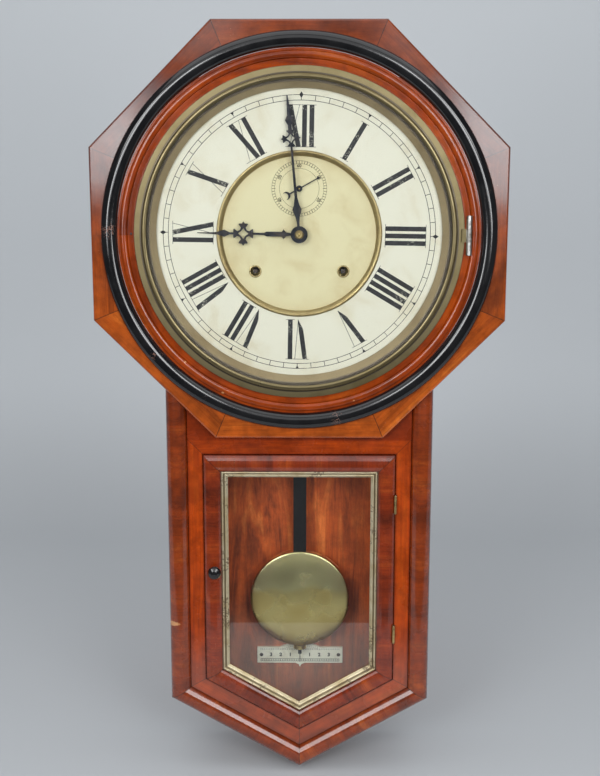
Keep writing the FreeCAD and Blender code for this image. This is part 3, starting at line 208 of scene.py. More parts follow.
# coordinates that follow a pointed frame: x along each rail, y inwards from its outer edge
def makePointedPath():
    inputs = {"Vector": None, "Half": 0.14, "Tip": -0.74, "Top": 1.0}
    outputs = {"Vector": vectorSocket, "Mitre": floatSocket, "In": floatSocket}
    tree, given, put = newGroup("pointedPath", inputs, outputs)
    c, s = math.cos(case["slope"]), math.sin(case["slope"])
    x, y, z = split(given["Vector"])
    wide = calc("ABSOLUTE", x)
    rise = minus(z, given["Tip"])
    fromSide = minus(given["Half"], wide)
    fromSlant = minus(times(rise, c), times(wide, s))
    fromTop = minus(given["Top"], z)
    nearest = calc("MINIMUM", fromSide, fromSlant)
    onSlant = calc("LESS_THAN", fromSlant, fromSide)
    onTop = calc("LESS_THAN", fromTop, nearest)
    slantRun = plus(times(wide, c), times(rise, s))
    run = mixValue(onTop, mixValue(onSlant, z, slantRun), x)
    side = times(calc("SIGN", x), minus(1.0, onTop))
    ends = plus(times(onSlant, frameShift["slant"]), times(onTop, frameShift["top"]))
    shift = plus(times(side, frameShift["side"]), ends)
    inwards = calc("MINIMUM", nearest, fromTop)
    mitre = calc("MINIMUM", calc("ABSOLUTE", minus(fromSide, fromSlant)),
                 calc("ABSOLUTE", minus(nearest, fromTop)))
    lowMitre = mixValue(onSlant, mitre, calc("MINIMUM", mitre, wide))
    feed(put["Vector"], merge(plus(run, shift), inwards, y))
    feed(put["Mitre"], lowMitre)
    feed(put["In"], inwards)
    return tree


# layers of the figure: stretch, detail, roughness and distortion, where the cloud's is the wood's own wave
figure = {"cloud": ((5.0, 34.0, 34.0), 4.0, 0.6), "stripe": ((9.0, 420.0, 300.0), 3.0, 0.6, 0.3),
          "fibre": ((60.0, 2400.0, 1500.0), 2.0, 0.6), "pores": ((150.0, 3200.0, 2200.0), 1.0),
          "fibreShare": 0.25, "poreShare": 0.45, "stripeRise": 0.5}


# wood with its grain along x
def makeWoodFigure(look):
    inputs = {"Vector": None, "Dark": (0.1, 0.03, 0.01, 1), "Middle": (0.25, 0.06, 0.02, 1),
              "Light": (0.4, 0.14, 0.04, 1), "Stripes": 0.35, "Wave": 0.8}
    tree, given, put = newGroup("woodFigure", inputs, {"Color": colorSocket, "Height": floatSocket})
    vector = given["Vector"]
    cloud = noise(vector, *look["cloud"], given["Wave"])
    stripe = noise(vector, *look["stripe"])
    fibre = noise(vector, *look["fibre"])
    pores = ramp(noise(vector, *look["pores"]), 0.60, 0.72)
    tone = mixColor(ramp(cloud, 0.30, 0.52), given["Dark"], given["Middle"])
    tone = mixColor(ramp(cloud, 0.50, 0.74), tone, given["Light"])
    shade = times(ramp(stripe, 0.42, 0.68), given["Stripes"])
    tone = mixColor(shade, tone, given["Dark"])
    tone = mixColor(ramp(fibre, 0.35, 0.75, 0.0, look["fibreShare"]), tone, given["Light"])
    tone = mixColor(times(pores, look["poreShare"]), tone, given["Dark"])
    feed(put["Color"], tone)
    feed(put["Height"], minus(times(stripe, look["stripeRise"]), pores))
    return tree


# small flecks that come in patches, for chips, worn print and tarnish
fleck = {"patch": (0.38, 0.66), "limit": 0.82, "swing": 0.36, "edge": 0.05}


def makeFlecks(look):
    inputs = {"Vector": None, "Size": 0.001, "Patch": 0.03, "Amount": 0.5}
    tree, given, put = newGroup("flecks", inputs, {"Mask": floatSocket})

    def spread(size):
        scale = calc("DIVIDE", 1.0, size)
        inputs = {"Vector": given["Vector"], "Scale": scale, "Detail": 3.0, "Roughness": 0.6}
        return addNode("TexNoise", inputs)["Fac"]
    patch = ramp(spread(given["Patch"]), *look["patch"])
    limit = minus(look["limit"], times(times(patch, given["Amount"]), look["swing"]))
    feed(put["Mask"], ramp(minus(spread(given["Size"]), limit), 0.0, look["edge"]))
    return tree


railPath, pointedPath = makeRailPath(), makePointedPath()
woodFigure, flecks = makeWoodFigure(figure), makeFlecks(fleck)
print("shared node groups made")


def framePath(place, inset, top):
    return useGroup(pointedPath, Vector=place, Half=halfAt(inset) * mm,
                    Tip=tipAt(inset) * mm + dialHeight, Top=top * mm + dialHeight)


def fleckMask(place, size, patch, amount):
    return useGroup(flecks, Vector=place, Size=size, Patch=patch, Amount=amount)["Mask"]


def newMaterial(name, **sockets):
    material = bpy.data.materials.new(name)
    material.use_nodes = True
    tree = material.node_tree
    shader = tree.nodes["Principled BSDF"]
    for key, value in sockets.items():
        feed(shader.inputs[key.replace("_", " ")], value)
    place = tree.nodes.new("ShaderNodeTexCoord").outputs["Object"]
    return material, shader, place


def dress(shader, tone, rough):
    feed(shader.inputs["Base Color"], tone)
    feed(shader.inputs["Roughness"], rough)


def bump(shader, height, strength, distance):
    relief = addNode("Bump", {"Height": height, "Strength": strength, "Distance": distance})[0]
    feed(shader.inputs["Normal"], relief)


# lets light straight through where the mask is 1
def clearWhere(material, shader, mask, tone):
    clear = material.node_tree.nodes.new("ShaderNodeBsdfTransparent")
    feed(clear.inputs["Color"], tone)
    mix = addNode("MixShader", {0: mask, 1: shader.outputs[0], 2: clear.outputs[0]})[0]
    feed(material.node_tree.nodes["Material Output"].inputs["Surface"], mix)


def shades(dark, middle, light):
    return {"Dark": (*dark, 1), "Middle": (*middle, 1), "Light": (*light, 1)}


# varnished wood: what all woods share, then each wood's own values over it
varnish = {
    "path": "upright", "cross": False, "top": 900, "stripes": 0.4, "line": 0.0006, "wave": 0.8,
    "haze": 0.08, "gloss": 0.3, "relief": 0.12, "depth": 0.0002,
    "paintedRimShade": (0.0022, 0.75), "jointTone": (0.03, 0.01, 0.005), "jointShare": 0.8,
    "mottle": 48.0, "mottleRange": (0.74, 1.18), "smear": 22.0, "lowGreyWashFrom": 0.0,
    "paintedSheen": [], "paintedSheenFront": 106, "paintedSheenTone": (0.07, 0.055, 0.06), "paintedSheenShare": 0.5,
    "scuffs": [], "scuffGrain": 700.0, "scuffTone": (0.62, 0.30, 0.12),
    "chips": (0.0016, 0.06, 0.38), "chipShare": 0.5, "chipTone": (0.62, 0.36, 0.2)}
woods = {
    "octagonWood": {"path": "rails", "rough": (0.10, 0.17), "coat": 0.45, "gloss": 0.6, "haze": 0.1,
        "relief": 0.05, "tones": shades((0.10, 0.016, 0.002), (0.24, 0.041, 0.004), (0.37, 0.085, 0.012)),
        # painted shade: the octagon darker at the top, lighter low down
        "paintedHeightShade": (0.0, -0.37, (0.86, 0.76, 0.68), (1.75, 1.85, 1.4)),
        # painted sheen: greyer wood at the upper corners, under the glare
        "paintedSheen": [(-205, 80, 75), (205, 80, 75), (-165, 135, 60), (165, 135, 60)]},
    "mouldingVeneer": {"path": "pointed", "inset": 0, "cross": True, "stripes": 0.42,
        "tones": shades((0.11, 0.014, 0.002), (0.23, 0.030, 0.002), (0.36, 0.070, 0.007)),
        "rough": (0.20, 0.32), "coat": 0.9, "gloss": 0.4, "relief": 0.06,
        "edge": case["moulding"], "scuffs": [(-141, -428.5, 11, 3.2, 0.85)]},
    "bandWood": {"path": "pointed", "inset": case["moulding"], "top": case["bandTop"],
        "tones": shades((0.19, 0.020, 0.002), (0.39, 0.046, 0.002), (0.52, 0.088, 0.006)),
        "rough": (0.22, 0.32), "coat": 0.15, "line": 0.0005, "edge": case["band"],
        "lowGreyWash": (-0.575, -0.635, 0.22, (0.22, 0.19, 0.17))},
    "doorVeneer": {"path": "pointed", "inset": doorInset, "top": case["doorTop"], "cross": True,
        "tones": shades((0.09, 0.009, 0.0015), (0.22, 0.023, 0.003), (0.36, 0.060, 0.007)),
        "rough": (0.18, 0.30), "coat": 0.8, "gloss": 0.4, "relief": 0.06, "edge": case["rail"]},
    "surroundWood": {"path": "ring", "around": 0.18, "rough": (0.14, 0.22), "coat": 0.3, "gloss": 0.4,
        "tones": shades((0.14, 0.015, 0.001), (0.30, 0.038, 0.001), (0.42, 0.085, 0.005)),
        "scuffs": [(-81, -166, 1.8, 1.6, 0.9), (-120, -133, 1.2, 1.2, 0.8), (58, -174, 1.3, 1.0, 0.7)]},
    "boardWood": {"stripes": 0.45, "rough": (0.28, 0.42), "coat": 0.15,
        "tones": shades((0.09, 0.016, 0.003), (0.20, 0.038, 0.006), (0.30, 0.075, 0.013))},
    # the backboard's grey wash low down is a painted reflection of the door glass
    "innerWood": {"stripes": 0.32, "wave": 2.6, "rough": (0.4, 0.55), "coat": 0.05,
        "tones": shades((0.18, 0.022, 0.003), (0.52, 0.082, 0.010), (0.78, 0.20, 0.040)),
        "lowGreyWash": (-0.565, -0.64, 0.42, (0.29, 0.27, 0.225)), "lowGreyWashFrom": 6.0},
}


# where the grain runs: along the octagon's rails, a pointed frame's rails, round the dial, or upright
def grainPath(place, look):
    mitre = inwards = None
    if look["path"] == "rails":
        path = useGroup(railPath, Vector=place)
        vector, mitre = path["Vector"], path["Mitre"]
    elif look["path"] == "pointed":
        path = framePath(place, look["inset"], look["top"])
        vector, mitre, inwards = path["Vector"], path["Mitre"], path["In"]
    elif look["path"] == "ring":
        x, y, z = split(vectorCalc("SUBTRACT", place, dialCentre))
        along = times(calc("ARCTAN2", z, x), look["around"])
        vector = merge(along, dialReach(place), y)
    else:
        x, y, z = split(place)
        vector = merge(z, x, y)
    if look["cross"]:
        x, y, z = split(vector)
        vector = merge(y, x, z)
    return vector, mitre, inwards


# what age has done to the varnish, with painted shade, sheen and reflection over it
def ageWood(place, look, tone):
    mottle = ramp(noise(place, look["mottle"], 5.0, 0.65), 0.32, 0.68, *look["mottleRange"])
    tone = mixColor(1.0, tone, merge(mottle, mottle, mottle), "MULTIPLY")
    spot = split(place)
    if "paintedHeightShade" in look:  # painted shade: darker towards the top, lighter low down
        high, low, highTint, lowTint = look["paintedHeightShade"]
        tint = mixColor(ramp(spot["Z"], low, high), (*lowTint, 1), (*highTint, 1))
        tone = mixColor(1.0, tone, tint, "MULTIPLY")
    if "lowGreyWash" in look:  # greyer low down, on the front of a board; on the backboard behind the door glass it is a painted reflection of the glass
        high, low, share, washTone = look["lowGreyWash"]
        front = calc("LESS_THAN", spot["Y"], -look["lowGreyWashFrom"] * mm)
        tone = cover(times(front, ramp(spot["Z"], low, high, share, 0.0)), tone, washTone)
    for x, z, reach in look["paintedSheen"]:  # painted sheen: the wood greyed where the glare lies on the octagon
        gap = distanceTo(place, x, look["paintedSheenFront"], z)
        share = ramp(gap, 0.2 * reach * mm, reach * mm, look["paintedSheenShare"], 0.0)
        tone = cover(share, tone, look["paintedSheenTone"])
    for x, z, halfWide, halfHigh, strength in look["scuffs"]:  # pale places where the finish is gone
        offset = vectorCalc("SUBTRACT", place, (x * mm, 0, z * mm + dialHeight))
        shape = vectorCalc("MULTIPLY", offset, (1 / (halfWide * mm), 0, 1 / (halfHigh * mm)))
        ragged = plus(vectorCalc("LENGTH", shape), noise(place, look["scuffGrain"], 2.0))
        tone = cover(ramp(ragged, 1.2, 1.4, strength, 0.0), tone, look["scuffTone"])
    chips = fleckMask(place, *look["chips"])
    return cover(times(chips, look["chipShare"]), tone, look["chipTone"])


def makeWood(name, look):
    look = {**varnish, **look}
    material, shader, place = newMaterial(name, Coat_Weight=look["coat"], Coat_Roughness=look["haze"],
                                          Specular_IOR_Level=look["gloss"])
    vector, mitre, inwards = grainPath(place, look)
    wood = useGroup(woodFigure, Vector=vector, Stripes=look["stripes"], Wave=look["wave"], **look["tones"])
    tone = wood["Color"]
    if inwards is not None:  # painted shade: darker along both edges of a moulding
        width, share = look["paintedRimShade"]
        rim = calc("MINIMUM", inwards, minus(look["edge"] * mm, inwards))
        tone = mixColor(ramp(rim, 0.0, width, share, 0.0), tone, look["tones"]["Dark"])
    if mitre is not None:
        joint = ramp(mitre, look["line"] * 0.4, look["line"], look["jointShare"], 0.0)
        tone = cover(joint, tone, look["jointTone"])
    smear = noise(place, look["smear"], 4.0)
    dress(shader, ageWood(place, look, tone), ramp(smear, 0.3, 0.7, *look["rough"]))
    bump(shader, wood["Height"], look["relief"], look["depth"])
    return material


# metals: what all share, then tone, darker tarnish, roughness range, size of patches and amount of specks
bareMetal = {
    "metallic": 1.0, "detail": 5.0, "spread": (0.42, 0.72), "grain": 0.008, "grainScale": 900.0,
    "depth": 0.0001, "speck": 0.0008, "speckShare": 0.6, "dirt": [], "dirtTone": (0.070, 0.058, 0.048),
    "dirtShare": 0.85}


def metal(tone, tarnish, rough, patch, specks, **more):
    own = {"tone": tone, "tarnish": tarnish, "rough": rough, "patch": patch, "specks": specks}
    return {**bareMetal, **own, **more}


metals = {
    # the bezel's dark grooves: dirt and painted shade
    "bezelBrass": metal((0.215, 0.175, 0.090), (0.165, 0.13, 0.06), (0.27, 0.36), 0.05, 0.05,
        metallic=0.85, grain=0.001, matt=(164.6, 0.46), dirt=[(164.3, 0.9), (157.2, 1.0)]),
    "rimBrass": metal((0.34, 0.27, 0.13), (0.22, 0.16, 0.075), (0.36, 0.5), 0.03, 0.3),
    # the sight ring's dark outer band beside the glass edge: dirt and painted shade
    "sightBrass": metal((0.36, 0.28, 0.165), (0.28, 0.21, 0.115), (0.36, 0.48), 0.04, 0.05, metallic=0.4,
        grain=0.002, dirt=[(158.6, 4.2)]),
    # the bob's greyer top above a wandering line is a painted reflection
    "bobBrass": metal((0.72, 0.62, 0.27), (0.52, 0.38, 0.12), (0.22, 0.32), 0.045, 0.0, detail=1.5,
        spread=(0.25, 0.95), grain=0.002,
        dull={"edge": -417.0, "tone": (0.78, 0.73, 0.40), "share": 0.85, "wave": 18.0, "wander": 0.03,
              "blur": 0.004}),
    "workBrass": metal((0.66, 0.50, 0.20), (0.42, 0.30, 0.11), (0.22, 0.36), 0.02, 0.4),
    "hingeBrass": metal((0.70, 0.54, 0.24), (0.26, 0.18, 0.08), (0.3, 0.5), 0.006, 0.6),
    "brightSteel": metal((0.62, 0.62, 0.59), (0.26, 0.23, 0.20), (0.28, 0.5), 0.008, 0.6),
    "bluedSteel": metal((0.030, 0.033, 0.042), (0.055, 0.045, 0.04), (0.28, 0.5), 0.01, 0.3),
    "castIron": metal((0.06, 0.06, 0.06), (0.10, 0.06, 0.04), (0.5, 0.7), 0.01, 0.5),
    "silveredPlate": metal((0.84, 0.85, 0.72), (0.66, 0.64, 0.50), (0.4, 0.55), 0.02, 0.25, metallic=0.12),
    "hingeSteel": metal((0.46, 0.45, 0.42), (0.15, 0.12, 0.09), (0.5, 0.66), 0.006, 0.9, brassTo=0.1722),
}


def makeMetal(name, look):
    material, shader, place = newMaterial(name, Metallic=look["metallic"])
    spots = noise(place, 1 / look["patch"], look["detail"], 0.65)
    grain = noise(place, look["grainScale"], 2.0)
    specks = fleckMask(place, look["speck"], look["patch"], look["specks"])
    tone = cover(ramp(spots, *look["spread"]), (*look["tone"], 1), look["tarnish"])
    tone = cover(times(specks, look["speckShare"]), tone, look["tarnish"])
    if "dull" in look:  # painted reflection: greyer, paler brass above a wandering line, like a mirrored horizon
        dull = look["dull"]
        wander = times(noise(place, dull["wave"], 1.0), dull["wander"])
        rise = plus(split(place)["Z"], wander)
        middle = dull["edge"] * mm + dialHeight + dull["wander"] / 2
        share = ramp(rise, middle - dull["blur"], middle + dull["blur"], 0.0, dull["share"])
        tone = cover(share, tone, dull["tone"])
    if "brassTo" in look:  # the tab beside the bezel is brass like it
        tab = calc("LESS_THAN", split(place)["X"], look["brassTo"])
        tone = cover(tab, tone, metals["bezelBrass"]["tone"])
    for radius, half in look["dirt"]:  # dirt and painted shade in the grooves round the dial, beside the bead and the glass edge
        gap = calc("ABSOLUTE", minus(dialReach(place), radius * mm))
        share = ramp(gap, half * 0.6 * mm, half * mm, look["dirtShare"], 0.0)
        tone = cover(share, tone, look["dirtTone"])
    bite = look["grain"]
    rough = plus(ramp(spots, 0.3, 0.75, *look["rough"]), ramp(grain, 0.3, 0.7, -4 * bite, 4 * bite))
    if "matt" in look:  # rougher outside a radius
        radius, mattRough = look["matt"]
        rim = calc("GREATER_THAN", dialReach(place), radius * mm)
        rough = mixValue(rim, rough, mattRough)
    dress(shader, tone, rough)
    bump(shader, grain, bite, look["depth"])
    return material


# painted dial sheets with soft stains; the centre is yellower and darker towards its rim
oldPaint = {
    "rim": None, "rimShare": 0.45, "stainScale": 26.0, "stainShare": 0.65, "fine": 420.0,
    "rough": (0.42, 0.56), "relief": 0.05, "depth": 0.0001, "specks": (0.0012, 0.05, 0.5),
    "speckShare": 0.35, "speckTone": (0.25, 0.18, 0.1)}
paints = {
    "chapterPaint": {"tone": (0.80, 0.77, 0.64), "stain": (0.66, 0.58, 0.40)},
    "centrePaint": {"tone": (0.75, 0.68, 0.42), "stain": (0.58, 0.46, 0.23), "rim": (0.066, 0.084)},
}


def makePaint(name, look):
    look = {**oldPaint, **look}
    material, shader, place = newMaterial(name)
    stain = ramp(noise(place, look["stainScale"], 5.0, 0.6, 0.5), 0.44, 0.80, 0.0, look["stainShare"])
    fine = noise(place, look["fine"], 3.0)
    tone = cover(stain, (*look["tone"], 1), look["stain"])
    if look["rim"]:
        share = ramp(dialReach(place), *look["rim"], 0.0, look["rimShare"])
        tone = cover(share, tone, look["stain"])
    specks = fleckMask(place, *look["specks"])
    tone = cover(times(specks, look["speckShare"]), tone, look["speckTone"])
    dress(shader, tone, ramp(fine, 0.3, 0.7, *look["rough"]))
    bump(shader, fine, look["relief"], look["depth"])
    return material


# black lacquer; chips through to red ground gather round a few spots on the ring
lacquer = {
    "coat": 0.5, "haze": 0.06, "tone": (0.004, 0.004, 0.005), "dull": (0.009, 0.009, 0.010), "cloud": 40.0,
    "rough": (0.10, 0.17), "ground": (0.26, 0.11, 0.07), "groundShare": 0.8, "groundRough": 0.6,
    "chip": (0.0011, 0.03), "amount": 0.9, "relief": 0.3, "depth": 0.0003, "front": 112,
    "spots": [(-196, 8, 26), (-193, -32, 18), (-150, -128, 22), (-92, -176, 34), (40, -193, 20),
              (193, 40, 14)]}


def makeLacquer(name, look):
    material, shader, place = newMaterial(name, Coat_Weight=look["coat"], Coat_Roughness=look["haze"])
    near = 0.0
    for x, z, reach in look["spots"]:
        gap = distanceTo(place, x, look["front"], z)
        near = calc("MAXIMUM", ramp(gap, 0.0, reach * mm, 1.0, 0.0), near)
    chips = fleckMask(place, *look["chip"], times(near, look["amount"]))
    cloud = noise(place, look["cloud"], 4.0)
    tone = cover(ramp(cloud, 0.3, 0.7), (*look["tone"], 1), look["dull"])
    tone = cover(times(chips, look["groundShare"]), tone, look["ground"])
    rough = mixValue(chips, ramp(cloud, 0.3, 0.7, *look["rough"]), look["groundRough"])
    dress(shader, tone, rough)
    bump(shader, times(chips, -1.0), look["relief"], look["depth"])
    return material


# gilding rubbed through to dark ground, and darker in the groove of the slip
gilt = {
    "tone": (0.76, 0.67, 0.46), "dull": (0.56, 0.45, 0.26), "cloud": 60.0, "rough": (0.36, 0.5),
    "rub": (0.0022, 0.02, 1.0), "rubShare": 0.8, "ground": (0.12, 0.075, 0.04), "metallic": 0.75,
    "rubMetallic": 0.6, "relief": 0.3, "depth": 0.0003, "groove": 0.0030, "grooveEdge": (0.0004, 0.0010),
    "grooveShare": 0.7, "grooveTone": (0.10, 0.065, 0.035)}


def makeGilt(name, look):
    material, shader, place = newMaterial(name)
    rubbed = fleckMask(place, *look["rub"])
    cloud = noise(place, look["cloud"], 4.0)
    tone = cover(ramp(cloud, 0.35, 0.7), (*look["tone"], 1), look["dull"])
    tone = cover(times(rubbed, look["rubShare"]), tone, look["ground"])
    inwards = framePath(place, slipInset, slipTop)["In"]
    groove = calc("ABSOLUTE", minus(inwards, look["groove"]))
    share = ramp(groove, *look["grooveEdge"], look["grooveShare"], 0.0)
    tone = cover(share, tone, look["grooveTone"])
    dress(shader, tone, ramp(cloud, 0.3, 0.7, *look["rough"]))
    feed(shader.inputs["Metallic"], minus(look["metallic"], times(rubbed, look["rubMetallic"])))
    bump(shader, times(rubbed, -1.0), look["relief"], look["depth"])
    return material


# clear glass that lets lamp light through to what lies behind it
glass = {
    "tone": (0.98, 0.99, 0.98, 1), "clear": (0.96, 0.97, 0.96, 1), "bend": 1.55, "ripple": (16.0, 16.0, 9.0),
    "relief": 0.03, "depth": 0.001}


def makeGlass(name, look):
    material, shader, place = newMaterial(name, Base_Color=look["tone"], Roughness=0.0, IOR=look["bend"],
                                          Transmission_Weight=1.0)
    bump(shader, noise(place, look["ripple"], 1.0), look["relief"], look["depth"])
    rays = material.node_tree.nodes.new("ShaderNodeLightPath").outputs
    lit = calc("MAXIMUM", rays["Is Shadow Ray"], rays["Is Diffuse Ray"])
    clearWhere(material, shader, lit, look["clear"])
    return material


# print and rod paint: black with worn flecks where the ground shows through
ink = {"gloss": 0.2, "cloud": 300.0, "paler": 2.2, "rough": (0.4, 0.6), "fleck": (0.0009, 0.018)}
inks = {
    "blackPaint": {"tone": (0.005, 0.005, 0.006), "worn": (0.02, 0.015, 0.012), "amount": 0.4},
    "numeralInk": {"tone": (0.020, 0.020, 0.022), "worn": (0.62, 0.60, 0.50), "amount": 0.75},
    "fineInk": {"tone": (0.030, 0.026, 0.018), "worn": (0.60, 0.52, 0.30), "amount": 0.3},
    "plateInk": {"tone": (0.030, 0.030, 0.028), "worn": (0.4, 0.39, 0.32), "amount": 0.3},
}


def makeInk(name, look):
    look = {**ink, **look}
    material, shader, place = newMaterial(name, Specular_IOR_Level=look["gloss"])
    rubbed = fleckMask(place, *look["fleck"], look["amount"])
    cloud = noise(place, look["cloud"], 3.0)
    paler = [look["paler"] * part for part in look["tone"]]
    tone = cover(ramp(cloud, 0.3, 0.8), (*look["tone"], 1), paler)
    dress(shader, cover(rubbed, tone, look["worn"]), ramp(cloud, 0.3, 0.7, *look["rough"]))
    return material


finishes = {}
for make, looks in ((makeWood, woods), (makeMetal, metals), (makePaint, paints),
                    (makeLacquer, {"blackLacquer": lacquer}), (makeGilt, {"paleGilt": gilt}),
                    (makeGlass, {"oldGlass": glass}), (makeInk, inks)):
    finishes.update({name: make(name, look) for name, look in looks.items()})

nodeFinishes = {
    "octagonWood": "octagon_rails",
    "mouldingVeneer": "case_moulding",
    "bandWood": "front_frame",
    "doorVeneer": "door_frame",
    "surroundWood": "surround_ring",
    "boardWood": "side_boards bottom_boards top_board",
    "innerWood": "backboard door_glass_stops",
    "blackLacquer": "ebonised_ring door_knob",
    "blackPaint": "pendulum_rod",
    "paleGilt": "door_slip",
    "oldGlass": "bezel_glass door_glass",
    "chapterPaint": "chapter_ring",
    "centrePaint": "dial_centre",
    "silveredPlate": "scale_plate",
    "bezelBrass": "bezel",
    "rimBrass": "dial_bead_ring hand_collet",
    "sightBrass": "sight_ring",
    "bobBrass": "pendulum_bob rating_nut",
    "hingeBrass": "door_hinge_leaves door_hinge_leaves_case",
    "hingeSteel": "bezel_hinge_leaf",
    "brightSteel": "hanger_plate hinge_pins bezel_hinge_leaf_case suspension_spring verge hammer",
    "bluedSteel": "minute_hand hour_hand seconds_hand time_mainspring strike_mainspring gong",
    "castIron": "gong_stand time_winding_arbor strike_winding_arbor",
}
for name, node in nodes.items():
    finish = next((key for key, members in nodeFinishes.items() if name in members.split()), "workBrass")
    node.data.materials.clear()
    node.data.materials.append(finishes[finish])
print("finishes:", len(finishes))


# mesh helpers
def newPiece(name, bm, finish, body, smooth=None):
    if smooth is not None:
        for face in bm.faces:
            face.smooth = True
        for edge in bm.edges:
            if edge.calc_face_angle(0.0) > math.radians(smooth):
                edge.smooth = False
    mesh = bpy.data.meshes.new(name)
    bm.to_mesh(mesh)
    bm.free()
    piece = bpy.data.objects.new(name, mesh)
    scene.collection.objects.link(piece)
    mesh.materials.append(finishes[finish])
    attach(piece, body)
    return piece


# the corners or the edges among what an operator made
def cornersOf(items):
    return [item for item in items if isinstance(item, bmesh.types.BMVert)]


def edgesOf(items):
    return [item for item in items if isinstance(item, bmesh.types.BMEdge)]


# one outline from its named stretches
def joined(look):
    return [point for stretch in look.values() for point in stretch]


def closeUp(bm, gap):
    bmesh.ops.remove_doubles(bm, verts=bm.verts[:], dist=gap)
    bmesh.ops.recalc_face_normals(bm, faces=bm.faces[:])


# a place in millimetres about the dial centre
def spotAt(x, front, z):
    return Vector((x * mm, -front * mm, z * mm + dialHeight))


# a place on the dial: degrees clockwise from twelve, distance out, offset to the clockwise side
def dialPoint(degrees, out, aside=0.0, front=0.0, middle=(0.0, 0.0)):
    turn = math.radians(degrees)
    return spotAt(middle[0] + out * math.sin(turn) + aside * math.cos(turn), front,
                  middle[1] + out * math.cos(turn) - aside * math.sin(turn))


def addStroke(bm, start, end, width, taper=1.0):
    run = end - start
    side = run.cross(Vector((0, 1, 0))).normalized()
    matrix = Matrix((side * width * mm, run, Vector((0, 1, 0)))).transposed().to_4x4()
    matrix.translation = (start + end) / 2
    corners = bmesh.ops.create_grid(bm, x_segments=1, y_segments=1, size=0.5, matrix=matrix)["verts"]
    for vert in corners:
        if (vert.co - end).length < (vert.co - start).length:
            vert.co = end + (vert.co - end) * taper


def addRing(bm, radius, width, front, middle=(0.0, 0.0), segments=120):
    place = Matrix.Translation(dialPoint(0, 0, 0, front, middle)) @ standUp
    loops = []
    for reach in (radius - width / 2, radius + width / 2):
        made = bmesh.ops.create_circle(bm, segments=segments, radius=reach * mm, matrix=place)["verts"]
        loops += {edge for vert in made for edge in vert.link_edges}
    bmesh.ops.bridge_loops(bm, edges=loops)


# a lozenge, or with three sides an arrowhead that points to the dial centre
def addLozenge(bm, spot, halfLong, halfWide, degrees=0.0, sides=4):
    place = Matrix.Translation(spot) @ Matrix.Rotation(math.radians(degrees), 4, "Y")
    shape = Matrix.Diagonal((halfWide * mm, 1, halfLong * mm, 1)) @ standUp @ Matrix.Rotation(math.pi, 4, "Z")
    bmesh.ops.create_circle(bm, segments=sides, radius=1.0, cap_ends=True, matrix=place @ shape)


# printed faces become a film of a given thickness towards the front
def thicken(bm, film):
    grown = bmesh.ops.extrude_face_region(bm, geom=bm.faces[:])["geom"]
    bmesh.ops.translate(bm, verts=cornersOf(grown), vec=(0, -film * mm, 0))
    bmesh.ops.recalc_face_normals(bm, faces=bm.faces[:])


def addNumber(bm, text, height, place, bold=0.0):
    curve = bpy.data.curves.new("number", "FONT")
    curve.body = text
    curve.size = height * mm
    curve.offset = bold
    curve.align_x = "CENTER"
    curve.align_y = "CENTER"
    holder = bpy.data.objects.new("number", curve)
    mesh = bpy.data.meshes.new_from_object(holder)
    mesh.transform(place @ standUp)
    bm.from_mesh(mesh)
    bpy.data.objects.remove(holder)
    bpy.data.meshes.remove(mesh)


# a closed outline of (radius, front) spun about the dial's axis; a third number softens that corner
def spun(name, look, finish, body, middle=(0.0, 0.0), steps=180, smooth=35):
    bm = bmesh.new()
    outline = joined(look)
    verts = [bm.verts.new((point[0] * mm, -point[1] * mm, 0)) for point in outline]
    for first, second in zip(verts, verts[1:] + verts[:1]):
        bm.edges.new((first, second))
    for vert, point in zip(verts, outline):
        if len(point) > 2:
            bmesh.ops.bevel(bm, geom=[vert], offset=point[2] * mm, affect="VERTICES", segments=6, profile=0.5,
                            material=-1)
    bmesh.ops.spin(bm, geom=bm.verts[:] + bm.edges[:], cent=(0, 0, 0), axis=(0, 1, 0), angle=2 * math.pi,
                   steps=steps, use_merge=True)
    closeUp(bm, 1e-7)
    bmesh.ops.translate(bm, verts=bm.verts[:], vec=(middle[0] * mm, 0, middle[1] * mm + dialHeight))
    return newPiece(name, bm, finish, body, smooth)


# half-round profile: points from one foot to the other over a crown
def bead(outer, inner, foot, crown, count=12):
    centre, half = (outer + inner) / 2, (outer - inner) / 2
    turns = [math.pi * step / count for step in range(count + 1)]
    return [(centre + half * math.cos(turn), foot + (crown - foot) * math.sin(turn)) for turn in turns]


# rings round the dial, from the octagon inwards
ringLook = {"bead": bead(205.5, 188.6, 106, 112.9, 20)}
blackRing = spun("blackRing", ringLook, "blackLacquer", "case", smooth=60)
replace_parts(blackRing, "ebonised_ring")
surroundLook = {"body": [(146, 86), (188.3, 86), (188.3, 106.5)], "bead": bead(186, 178, 106.5, 109.3),
                "face": [(177.4, 107.35, 0.15), (172.8, 107, 0.4), (163, 107, 0.6)],
                "ledge": [(163, 93), (146, 93)]}
woodRing = spun("woodRing", surroundLook, "surroundWood", "case", smooth=40)
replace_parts(woodRing, "surround_ring")
bezelLook = {"flange": [(161.4, 107.3), (171, 107.3), (171, 108.6, 0.5)],
             "bead": bead(163.6, 157.4, 108.9, 111.2),
             "seat": [(157.4, 107.3), (160.4, 107.3), (160.4, 103.5), (161.4, 103.5)]}
bezelRing = spun("bezelRing", bezelLook, "bezelBrass", "bezel_door", smooth=40)
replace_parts(bezelRing, "bezel")
sightLook = {"rim": [(160.1, 103.7), (160.1, 104.7)], "slope": [(155.4, 104.7, 0.6), (148.8, 96.1, 0.3)],
             "back": [(149.6, 95.4), (156.4, 103.7)]}
sightFunnel = spun("sightFunnel", sightLook, "sightBrass", "bezel_door", smooth=40)
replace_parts(sightFunnel, "sight_ring")
rimLook = {"seat": [(80.4, 91), (83.7, 91), (83.7, 94), (86.6, 94)],
           "bead": [(86.6, 94.5, 0.2), (84.8, 95.3, 0.7), (82.6, 94.2, 0.6), (80.4, 92.2, 0.5)]}
dialRim = spun("dialRim", rimLook, "rimBrass", "case", smooth=50)
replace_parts(dialRim, "dial_bead_ring")


